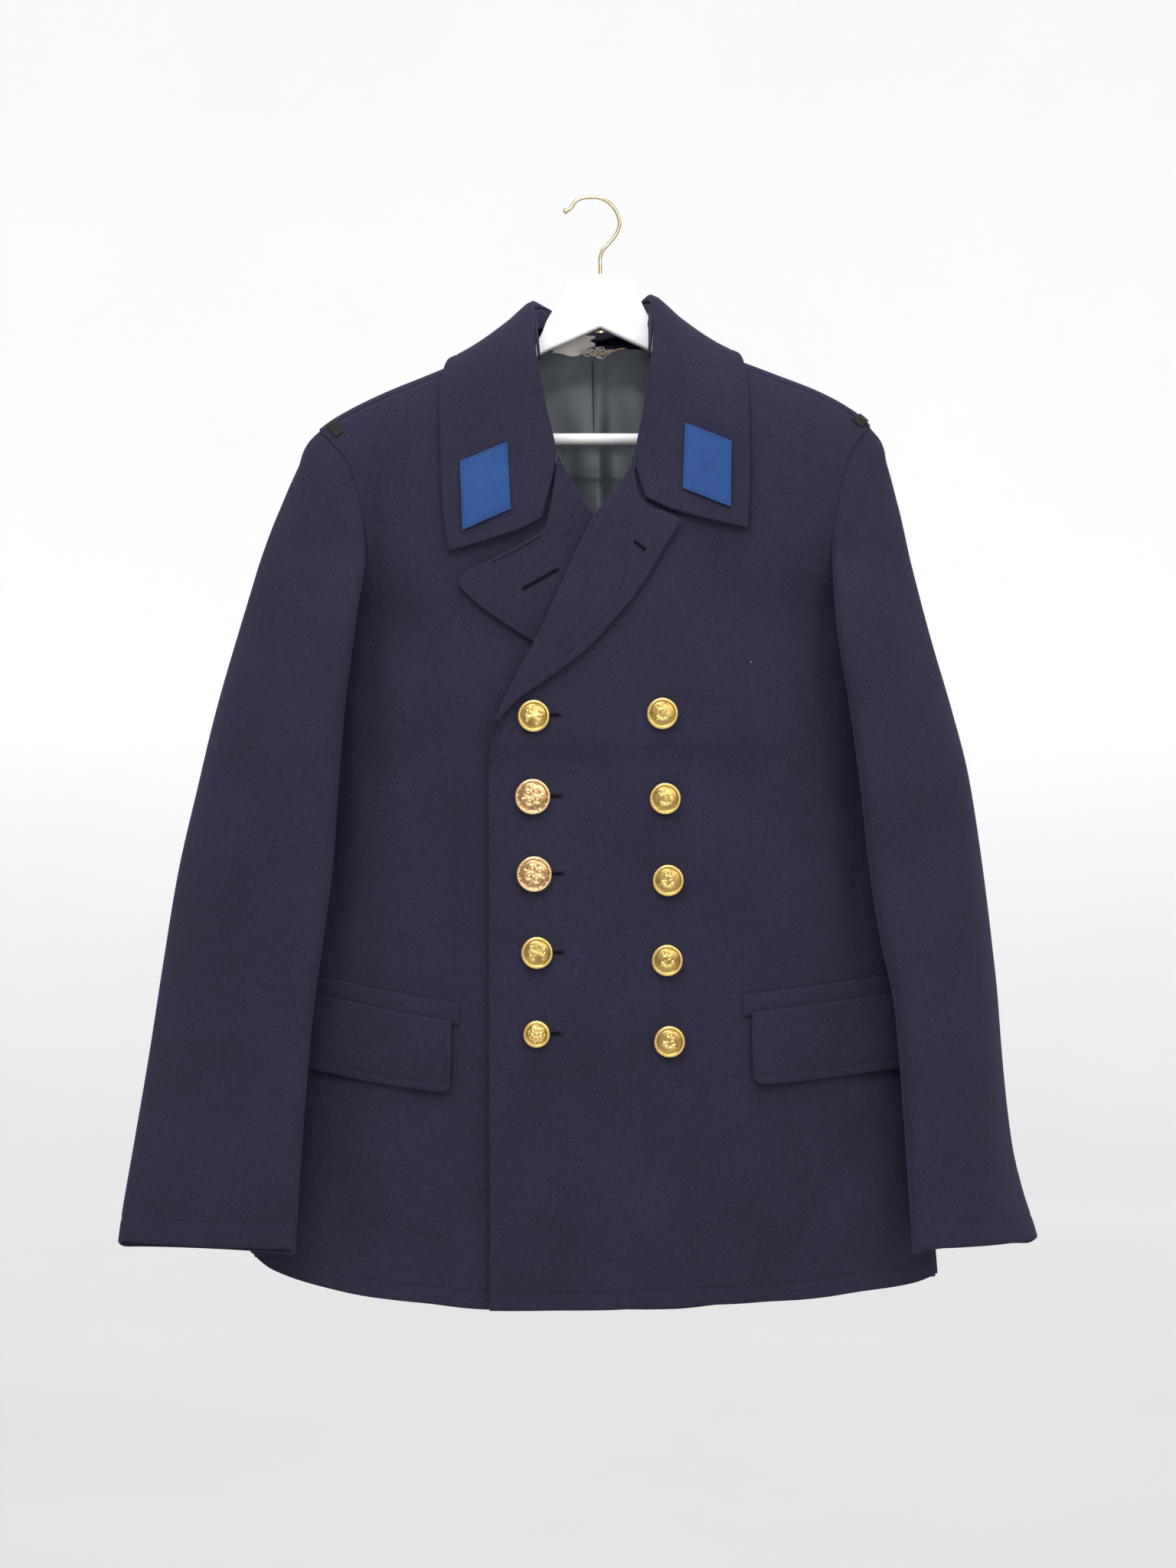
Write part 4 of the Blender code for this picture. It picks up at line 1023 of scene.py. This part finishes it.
def slit(name, start, end, which, lift, width=1.5, bar=True):
    """A worked buttonhole: two rows of close stitches, a black strand along the slit that is painted
    shade for its opening, and a bar at its end.
    """
    start, end = np.array(start, float), np.array(end, float)
    length = np.linalg.norm(end - start)
    along = (end - start) / length
    across = np.array((-along[1], along[0]))
    dark, light = [], []

    def strand(x, z, rises, radius=0.3):
        points, normals = line_on(x, z, lift + front_lift(which, x, z))
        return points + normals * np.reshape(rises, (-1, 1)), radius

    for k in range(int(length / STITCH)):
        at = start + along * (k + 0.5) * STITCH
        for way in (-1, 1):
            reach = np.array((0.15, 0.5, 0.85, 1.0)) * width
            x, z = (at[c] + way * across[c] * reach for c in (0, 1))
            dark.append(strand(x, z, (-0.3, 0.45, 0.3, -0.3)))
    for k in range(4 if bar else 0):
        reach = np.linspace(-1.1, 1.1, 5) * width
        x, z = (end[c] + along[c] * (0.2 + 0.45 * k) + across[c] * reach for c in (0, 1))
        light.append(strand(x, z, (-0.3, 0.4, 0.6, 0.4, -0.3)))
    # The black strand along the middle of the slit is painted shade: it stands in for the dark
    # opening.
    dark.append(strand(*np.linspace(start, end, 12).T, 0.05, 0.42))
    made = [tubes(name, dark, BLACK_THREAD)]
    if light:
        made.append(tubes(f"{name}_bar", light, NAVY_THREAD))
    for obj in made:
        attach(obj, "jacket")


# --- Pockets --------------------------------------------------------------------------------

FLAP_ENDS = {LEFT: (121, -642, 243, -629), RIGHT: (111, -649, 226, -629)}


def flap_line(which, share):
    x0, z0, x1, z1 = FLAP_ENDS[which]
    return which * mix(x0, x1, share), mix(z0, z1, share)


@per_side
def pockets(which, name):
    def shape(u, v):
        x, z = flap_line(which, u)
        corner = np.clip(1 - u * 12, 0, 0.999)
        drop = FLAP * v * (1 - 0.13 * (1 - np.sqrt(1 - corner**2))) + 3 * v * np.sin(u * 2.2)
        lean = which * (0.8 - 1.6 * u) * v
        belly = 1.4 * np.sin(u * 7 + 1) * v + 1.2 * np.sin(v * math.pi)
        return front_point(x + lean, z + 1.5 - drop, front_lift(which, x, z) + FLAP_LIFT + belly)

    flap = slab(f"pocket_flap_{name}_wool", shape, WOOL, thickness=3.2, step=3.2, rim=1.6,
                seams={"u": (7.0,), "V": (7.0,)}, depth=0.55)
    height = FLAP_ENDS[which][1]
    start, end = ((which * x * MM, 0, height * MM) for x in (238 - 12 * (which < 0), 172))
    dress(flap, ("jacket", f"flap_{name}", start, end), [f"pocket_flap_{name}"])

    def strip(u, v):
        x, z = flap_line(which, mix(-0.05, 1, u))
        z = z + mix(-1.5, WELT - 1, v)
        puff = 0.9 * np.sin(v * math.pi)
        return front_point(x, z, front_lift(which, x, z) + WELT_LIFT + puff)

    welt = slab(f"pocket_welt_{name}_wool", strip, WOOL, thickness=2.8, step=3, rim=1.4)
    dress(welt, "jacket", [f"pocket_welt_{name}"])

    def bag(u, v):
        angle = 2 * math.pi * u
        depth = np.abs(np.sin(angle)) ** 0.4 * np.sign(np.sin(angle))
        x, z = flap_line(which, 0.45 + 0.4 * np.cos(angle))
        z = z - 9 - BAG_DEPTH * np.sin(v * math.pi / 2)
        lift = front_lift(which, x, z) + BAG_LIFT
        return front_point(x, z, lift + 1.4 * np.where(v > 0.98, 0.5, 1) * depth)

    def core(points):
        x, _, z = points
        return front_point(x, z, front_lift(which, x, z) + BAG_LIFT)

    pouch = slab(f"pocket_bag_{name}_cotton", bag, CANVAS, thickness=0.5, step=5, rims="",
                 rim=0.25, ring=True, inside=core)
    dress(pouch, "jacket", [f"pocket_bag_{name}"])


# --- Sleeves --------------------------------------------------------------------------------

sleeve_in = {
    RIGHT: profile((-850, 233), (-770, 229), (-709, 225), (-647, 220), (-586, 212), (-524, 204),
                   (-463, 200), (-402, 195), (-340, 187), (-279, 182)),
    LEFT: profile((-850, 250), (-770, 247), (-709, 244), (-635, 238), (-586, 227), (-524, 217),
                  (-463, 210), (-402, 201), (-340, 190), (-291, 187)),
}
sleeve_out = {
    RIGHT: profile((-850, 379), (-803, 373), (-749, 364), (-677, 352), (-605, 341), (-533, 329),
                   (-461, 312), (-407, 299), (-353, 284), (-317, 273), (-281, 262), (-245, 250),
                   (-209, 236), (-191, 228), (-181, 220)),
    LEFT: profile((-850, 356), (-821, 350), (-785, 338), (-749, 329), (-677, 320), (-605, 314),
                  (-533, 306), (-461, 295), (-407, 282), (-353, 267), (-317, 257), (-281, 248),
                  (-245, 242), (-209, 234), (-191, 228), (-179, 220)),
}
sleeve_y_in = profile((-850, -60), (-600, -56), (-345, -58), (-280, -40))
sleeve_y_out = {RIGHT: profile((-850, -8), (-600, 12), (-345, 12), (-280, 8)),
                LEFT: profile((-850, 16), (-600, 24), (-345, 12), (-280, 8))}
sleeve_half = {RIGHT: profile((-850, 17), (-600, 25), (-450, 24), (-345, 18)),
               LEFT: profile((-850, 23), (-600, 27), (-450, 24), (-345, 17))}
CUFF = {FRONT: -823.0, BACK: -829.0}
# Soft dents and swells of each sleeve: angle round it, height, spread in both, and how far out.
SLEEVE_FOLDS = {
    RIGHT: ((1.9, -300, 0.5, 60, -2.5), (1.2, -520, 0.45, 120, 2.6), (2.2, -610, 0.35, 90, -2.4),
            (0.8, -700, 0.4, 90, -2.2), (1.7, -770, 0.4, 60, 2.0), (5.0, -520, 0.7, 130, 4.0),
            (4.3, -400, 0.5, 70, -3.0), (5.4, -690, 0.5, 80, -3.0), (2.5, -430, 0.35, 60, 1.6)),
    LEFT: ((1.2, -330, 0.5, 60, -2.0), (0.9, -445, 0.5, 40, 2.4), (1.7, -500, 0.4, 90, -2.2),
           (1.4, -600, 0.45, 90, 2.6), (2.2, -700, 0.4, 90, -2.4), (0.8, -735, 0.4, 60, -2.4),
           (1.6, -790, 0.4, 50, 1.8), (5.0, -480, 0.7, 130, 4.0), (4.4, -640, 0.6, 90, -3.5)),
}


def sleeve_section(which, z, angle, inset=0.0):
    x_in, x_out = sleeve_in[which](z), sleeve_out[which](z)
    y_in, y_out = sleeve_y_in(z), sleeve_y_out[which](z)
    length = np.hypot(x_out - x_in, y_out - y_in)
    along_x, along_y = (x_out - x_in) / length, (y_out - y_in) / length
    swell = -inset + 0 * z
    for at, level, wide, tall, out in SLEEVE_FOLDS[which]:
        turn = (angle - at + math.pi) % (2 * math.pi) - math.pi
        swell = swell + out * hill(turn, wide) * hill(z - level, tall)
    reach = (length / 2 - inset) * np.cos(angle)
    bulge = (sleeve_half[which](z) + swell) * np.sin(angle)
    x = (x_in + x_out) / 2 + reach * along_x + bulge * along_y
    y = (y_in + y_out) / 2 + reach * along_y - bulge * along_x
    return np.stack(np.broadcast_arrays(which * x, y, z))


def cuff_level(angle):
    return mix(CUFF[FRONT], CUFF[BACK], smooth(np.cos(angle - math.pi / 2), 0.4, -0.4))


def armhole_point(which, angle):
    """The point of the armhole seam where the sleeve's column at that angle starts."""
    top = {LEFT: -180.5, RIGHT: -183.5}[which]
    front = np.clip(angle / math.pi, 0, 1)
    under = np.clip((angle - math.pi) / (0.3 * math.pi), 0, 1)
    back = np.clip((angle - 1.3 * math.pi) / (0.7 * math.pi), 0, 1)
    z = mix(top, -290, front**1.15) + (ARMPIT + 290) * under + (top - ARMPIT) * back**0.9
    in_front = angle <= 1.3 * math.pi
    edge = np.where(in_front, armhole[which, FRONT](z), armhole[which, BACK](z))
    x = which * (edge - UNDERLAP)
    top_x = which * (armhole[which, FRONT](top) - UNDERLAP)
    close = np.maximum(smooth(angle, 1.9 * math.pi, 2 * math.pi), 1 - smooth(angle, 0, 0.1))
    start_turn = turn_at(x, z, np.where(in_front, FRONT, BACK))
    turn = mix(start_turn, turn_at(top_x, top, FRONT), close)
    return raised(mix(x, top_x, close), turn, mix(-1.3, -1.0, close))


@per_side
def sleeves(which, name):
    def shape(u, v):
        angle = 2 * math.pi * u
        seam = armhole_point(which, angle)
        z = mix(seam[2], cuff_level(angle), v)
        away = (1 - np.clip((seam[2] - z) / 105, 0, 1)) ** 2.2
        head = sleeve_section(which, seam[2], angle)
        puff = 2.6 * np.sin(np.clip((seam[2] - z) / 26, 0, 1) * math.pi) * (1 - v)
        made = sleeve_section(which, z, angle) + (seam - head) * away
        out = unit(made - np.stack([which * 195 + 0 * u, 5 + 0 * u, made[2] - 25]))
        made = made + out * puff
        made[2] = z
        return made

    def core(points):
        middle = sleeve_section(which, points[2], 0 * points[2])
        inner = sleeve_section(which, points[2], math.pi + 0 * points[2])
        return (middle + inner) / 2

    wool = slab(f"sleeve_{name}_wool", shape, WOOL, step=4.5, rims="vV", ring=True,
                seams={"V": (19.0,)}, depth=0.45, inside=core)
    nodes = [f"{part}_{name}" for part in ("sleeve_cap", "top_sleeve", "under_sleeve")]
    outer = which * (float(sleeve_out[which](-345.0)) + 1.5) * MM
    start, end = ((outer, 0, level * MM) for level in (-292, -425))
    dress(wool, ("jacket", f"sleeve_{name}", start, end), nodes)

    def lined(u, v):
        angle = 2 * math.pi * u
        z = mix(-340 + 0 * u, cuff_level(angle) + 20, v)
        made = sleeve_section(which, z, angle, CLOTH + 2.2)
        made[1] = made[1] + 0.8 * np.sin(angle * 5 + z * 0.03)
        return made

    lining = slab(f"sleeve_lining_{name}_satin", lined, SATIN, thickness=THIN, step=7, rims="",
                  rim=0.4, ring=True, inside=core)
    dress(lining, ("jacket", f"sleeve_{name}", start, end), [f"sleeve_lining_{name}"])


# --- Hanger and hook ------------------------------------------------------------------------


hanger_top = profile((0, -60), (18, BOARD_TOP), (24, -62.5), (27, -68.5), (32, -79), (37, -89),
                     (41.5, -97), (45, -106), (50, -115), (58, -124), (80, -134), (122, -149),
                     (165, -169), (195, -186), (BOARD_HALF, -195))
hanger_foot = profile((0, -102), (24, -113.2), (48, -124.4), (60, -135), (100, -158), (150, -178),
                      (162, -197), (178, -204), (192, -202), (BOARD_HALF, -195))


def hanger():
    """The wooden board, which carries the jacket, and the paint of its trouser bar."""
    def shape(u, v):
        away = np.abs(2 * u - 1)
        x = BOARD_HALF * np.sign(2 * u - 1) * mix(away, away**2, 0.35)
        z = mix(hanger_foot(np.abs(x)), hanger_top(np.abs(x)), v)
        return np.stack([x + SHANK_X * (1 - np.abs(x) / BOARD_HALF), -BOARD / 2 + 0 * x, z])

    board = slab("hanger_board", shape, PAINT, thickness=BOARD, step=2.2, rim=2.2,
                 inside=lambda p: p + np.array((0, 20, 0)).reshape(3, 1, 1))
    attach(board, "jacket")
    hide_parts("hanger_body")
    repaint("trouser_bar", PAINT)


def repaint(node, finish):
    """A CAD node that stays as it is takes a better material."""
    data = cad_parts[node].data
    data.materials.clear()
    data.materials.append(finish)


def hook():
    route_x, route_z = profiles(
        (0, -24.6, -10.2), (0.07, -19.4, -8.0), (0.14, -13.5, -1.0), (0.22, -7, 1.3),
        (0.3, 0.4, WIRE), (0.38, 6, 0.5), (0.46, 12.6, -3.6), (0.54, 18.2, -11.2),
        (0.61, 20.2, -19), (0.68, 18.2, -26.4), (0.76, 11.8, -35), (0.83, 6.5, -41.4),
        (0.9, SHANK_X, -49), (1, SHANK_X, -104))
    t = np.concatenate([np.linspace(0, 0.9, 150), np.linspace(0.91, 0.99, 12)])
    points = np.stack([route_x(t), 0 * t, route_z(t)], axis=1)
    radii = WIRE + 1.0 * hill(np.arange(len(t)) - 4, 3.4)
    radii[:2] = (0.4, 1.4)
    wire = tubes("hook_wire_brass", [(points, radii)], BRASS, 20, taper=False)
    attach(wire, "hook")
    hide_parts("hook_wire", "hook_ball")
    repaint("hook_head", BRASS)
    # A pressed collar where the wire enters the wood.
    angle = np.linspace(0, 2 * math.pi, 41)
    ring = np.stack([SHANK_X + FERRULE * np.cos(angle), FERRULE * np.sin(angle),
                     BOARD_TOP + 0 * angle], axis=1)
    ferrule = tubes("hook_ferrule", [(ring, 0.7)], BRASS, 10, taper=False)
    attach(ferrule, "hook")


# --- Buttons --------------------------------------------------------------------------------


def near_line(x, y, points):
    """Distance from a broken line."""
    best = np.full(np.shape(x), 1e9)
    for (x0, y0), (x1, y1) in zip(points, points[1:]):
        share = np.clip(((x - x0) * (x1 - x0) + (y - y0) * (y1 - y0))
                        / max((x1 - x0) ** 2 + (y1 - y0) ** 2, 1e-9), 0, 1)
        best = np.minimum(best, np.hypot(x - mix(x0, x1, share), y - mix(y0, y1, share)))
    return best


def curve_points(count, low, high, make):
    return [tuple(make(t)) for t in np.linspace(low, high, count)]


def anchor_relief(x, y):
    """A plain anchor with a slack rope, for a coat button."""
    stem = hill(near_line(x, y, [(0, 4.6), (0, -4.6)]), 0.75)
    eye = hill(np.hypot(x, y - 5.7) - 1.1, 0.5)
    stock = hill(near_line(x, y, [(-2.7, 3.3), (2.7, 3.3)]), 0.6)
    arms = curve_points(14, -2.75, -0.4, lambda a: (4.6 * math.cos(a), 0.2 + 4.8 * math.sin(a)))
    flukes = [[(-4.4, -1.5), (-5.2, -3.4)], [(-4.4, -1.5), (-2.9, -2.5)],
              [(4.4, -1.5), (5.2, -3.4)], [(4.4, -1.5), (2.9, -2.5)]]
    rope = curve_points(26, -3.1, 3.1, lambda a: (3.1 * math.sin(1.6 * a), 1.75 * a))
    made = np.maximum.reduce([stem, eye, stock, hill(near_line(x, y, arms), 0.8)]
                             + [hill(near_line(x, y, f), 0.55) for f in flukes])
    return np.maximum(made, 0.6 * hill(near_line(x, y, rope), 0.42))


def ribbon_relief(x, y):
    """Two crossed ribbons with leaf ends."""
    made = 0 * x
    for way in (-1, 1):
        wave = curve_points(24, -1, 1, lambda s: (way * 4.6 * math.sin(2.2 * s), 5.0 * s))
        made = np.maximum(made, hill(near_line(x, y, wave), 0.85) * (1 if way > 0 else 0.9))
        for up in (-1, 1):
            leaf = np.hypot((x - way * 5.4) / 1.0, (y - up * 1.6) / 1.7)
            made = np.maximum(made, 0.8 * hill(leaf, 1.0))
    return made


def scroll_relief(x, y):
    """A quatrefoil scroll inside a ring of small beads."""
    made = hill(np.hypot(x, y) - 1.5, 0.45)
    for k in range(4):
        angle = math.pi / 4 + k * math.pi / 2
        cx, cy = 3.9 * math.cos(angle), 3.9 * math.sin(angle)
        ring = np.hypot(x - cx, y - cy)
        made = np.maximum(made, hill(ring - 2.4, 0.55))
        made = np.maximum(made, 0.9 * hill(ring, 0.8))
        ray = angle + 0.78
        tip = near_line(x, y, [(0, 0), (7.4 * math.cos(ray), 7.4 * math.sin(ray))])
        made = np.maximum(made, 0.75 * hill(tip, 0.42))
    for k in range(12):
        angle = 2 * math.pi * (k + 0.5) / 12
        bead = np.hypot(x - 10.2 * math.cos(angle), y - 10.2 * math.sin(angle))
        made = np.maximum(made, 0.95 * hill(bead, 0.62))
    return made


def rosette_relief(x, y):
    """A domed rosette of eight petals."""
    r, angle = np.hypot(x, y), np.arctan2(y, x)
    petals = np.abs(np.cos(4 * angle)) ** 0.7 * hill(r - 4.3, 1.7)
    leaves = np.abs(np.sin(4 * angle)) ** 2 * hill(r - 7.3, 1.0)
    return np.maximum.reduce([petals, 0.8 * leaves, 1.2 * hill(r, 1.4), 0.6 * hill(r - 2.2, 0.35)])


RELIEF_RADIUS = 12.2    # The reliefs are drawn for a button of this radius.
RIM = 1.25              # Half the width of a button's raised rim.
# Each button: its relief, how high its dome and relief stand, its roll, and its metal.
BUTTON_LOOKS = {
    "inner": ((ribbon_relief, 0.9, 0.8, -18, GOLD), (scroll_relief, 0.5, 0.9, 12, ROSE),
              (scroll_relief, 0.5, 0.9, -24, ROSE), (ribbon_relief, 0.9, 0.8, 9, GOLD),
              (rosette_relief, 2.2, 0.8, 10, GOLD)),
    "outer": tuple((anchor_relief, 1.1, 0.75, roll, GOLD) for roll in (14, 22, -10, 4, -13)),
}


def turned(x, y, angle):
    return (x * math.cos(angle) - y * math.sin(angle), x * math.sin(angle) + y * math.cos(angle))


def button(column, row):
    """The face of one button, laid round its CAD node. Returns its middle and its radius."""
    relief, dome, stand, roll, finish = BUTTON_LOOKS[column][row]
    name = f"button_{column}_{row + 1}"
    low, high = (np.array(corner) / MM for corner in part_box(name))
    middle = (low + high) / 2
    radius, back, tall = (high[0] - low[0]) / 2, high[1], high[1] - low[1]
    inner = radius - 2 * RIM + 0.1
    edge = np.sin(np.linspace(0.08, 1, 14) * math.pi / 2)
    rings = np.concatenate([np.linspace(0, inner, 38), mix(inner, radius, edge)])
    count = 120
    angle = np.arange(count) * 2 * math.pi / count
    r, a = np.meshgrid(rings, angle, indexing="ij")
    x, y = r * np.cos(a), r * np.sin(a)
    scale = RELIEF_RADIUS / radius
    rim_at = radius - RIM
    field = dome * (1 - (r / rim_at) ** 2)
    rim = 1.15 * np.sqrt(np.clip(1 - ((r - rim_at) / RIM) ** 2, 0, 1)) * (r > rim_at - RIM)
    gutter = -0.35 * hill(r - (radius - 3.1), 0.5)
    motif = relief(x * scale, y * scale) * (r < radius - 2.0)
    cord = 0.14 * np.cos(36 * a) * hill(r - rim_at, 0.8)
    height = tall - 1.9 - dome * 0.55 + np.where(r < rim_at, np.maximum(field, 0), 0)
    height = np.minimum(height + rim + gutter + motif * stand + cord, tall)
    height = np.where(r > radius - 0.02, 1.0, height)
    turn, lean = math.radians(roll), math.radians(3.0 if column == "outer" else 2.0)
    face_x, face_z = turned(x, y, turn)
    front = np.stack([middle[0] + face_x, back - height - face_x * math.tan(lean) * 0.4,
                      middle[2] + face_z])
    behind = np.stack([middle[0] + face_x * 0.93, back - 0.4 + 0 * r, middle[2] + face_z * 0.93])
    behind = behind[:, ::6]
    verts = np.concatenate([front.reshape(3, -1), behind.reshape(3, -1)], axis=1).T
    base = len(rings) * count
    faces = list(ring_faces(len(rings), count))
    faces += [face[::-1] for face in ring_faces(behind.shape[1], count, base)]
    edge = [(base - count + j, len(verts) - count + j) for j in range(count)]
    faces += [(*one, *other[::-1]) for one, other in zip(edge, edge[1:] + edge[:1])]
    obj = piece(f"{name}_face", verts, faces, finish, weld=0.004)
    tint = obj.data.attributes.new("relief", "FLOAT", "POINT")
    shown = np.array([vertex.co for vertex in obj.data.vertices]) / MM
    flat_x, flat_y = turned(shown[:, 0] - middle[0], shown[:, 2] - middle[2], -turn)
    spread = np.hypot(flat_x, flat_y)
    raised_by = relief(flat_x * scale, flat_y * scale) * (spread < radius - 2.0)
    worn = np.clip(0.3 + 0.8 * raised_by + 0.6 * (spread > radius - 2.2), 0, 1)
    tint.data.foreach_set("value", worn.astype(np.float32))
    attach(obj, f"{name}_turns")
    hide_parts(name)
    repaint(f"{name}_shank", finish)
    return middle, radius


def buttons():
    for column, looks in BUTTON_LOOKS.items():
        for row in range(len(looks)):
            (x, _, z), radius = button(column, row)
            if column == "inner":
                slit(f"buttonhole_{row + 1}", (x + radius - 4, z + 0.5), (x + radius + 8, z + 0.8),
                     LEFT, 0.4, 1.2)


# --- Stage ----------------------------------------------------------------------------------


def stage():
    """A pale round room with a soft corner between its floor and its wall."""
    angle = np.linspace(0, 2 * math.pi, 97)[:-1]
    flat = ROOM - CORNER
    steps = [(radius, FLOOR) for radius in (0, 1500, 3000, 4600, flat)]
    steps += [(flat + CORNER * math.sin(s), FLOOR + CORNER * (1 - math.cos(s)))
              for s in np.linspace(0.1, math.pi / 2, 12)]
    steps += [(ROOM, FLOOR + WALL)]
    verts = [(radius * math.cos(a), radius * math.sin(a), level) for radius, level in steps
             for a in angle]
    room = piece("backdrop", verts, ring_faces(len(steps), len(angle)), BACKDROP, weld=0.5)
    if room.data.polygons[0].normal.z < 0:
        room.data.flip_normals()


# Each light: its place, its width and height, and its power. All aim at AIM.
LIGHTS = {
    "key": ((-0.7, -2.2, 1.8), (1.3, 1.3), 50),
    "fill": ((1.5, -2.4, 0.9), (1.4, 1.6), 27),
    "front": ((0.15, -3.0, 0.1), (0.6, 0.6), 9),
    "top": ((0.0, -0.7, 1.9), (1.8, 1.0), 26),
    "rear": ((0.0, 2.6, 1.2), (2.0, 1.6), 8),
}
AIM = Vector((0, 0, -0.45))


def studio():
    """The lights, the pale sky and a camera that looks straight at the front."""
    scene = bpy.context.scene
    for name, (where, size, power) in LIGHTS.items():
        data = bpy.data.lights.new(name, "AREA")
        data.shape = "RECTANGLE"
        data.size, data.size_y = size
        data.energy = power
        obj = bpy.data.objects.new(name, data)
        scene.collection.objects.link(obj)
        obj.visible_camera = False
        obj.location = where
        obj.rotation_euler = (AIM - Vector(where)).to_track_quat("-Z", "Y").to_euler()
    world = bpy.data.worlds.new("pale_room")
    world.use_nodes = True
    sky = world.node_tree.nodes["Background"].inputs
    sky["Color"].default_value = (0.97, 0.98, 1.0, 1)
    sky["Strength"].default_value = 0.44
    scene.world = world
    scene.view_settings.view_transform = "Standard"
    camera = bpy.data.objects.new("camera", bpy.data.cameras.new("camera"))
    scene.collection.objects.link(camera)
    camera.location = (-0.0048, -2.931, -0.463)
    camera.rotation_euler = (math.pi / 2, 0, 0)
    camera.data.lens = 85
    camera.data.sensor_fit = "VERTICAL"
    camera.data.sensor_height = camera.data.sensor_width = 36
    scene.camera = camera


studio()
stage()
hanger()
hook()
fronts()
backs()
back_lining()
shoulder_pads()
collar()
lapels()
patches()
shoulder_loops()
neck_label()
pockets()
sleeves()
buttons()
slit("lapel_buttonhole_right", (-55, -312), (-28, -297), RIGHT, FOLD_LIFT + 1.0, 1.5)
slit("lapel_buttonhole_left", (30, -276), (39, -283), LEFT, FOLD_LIFT + 1.0, 1.2, False)
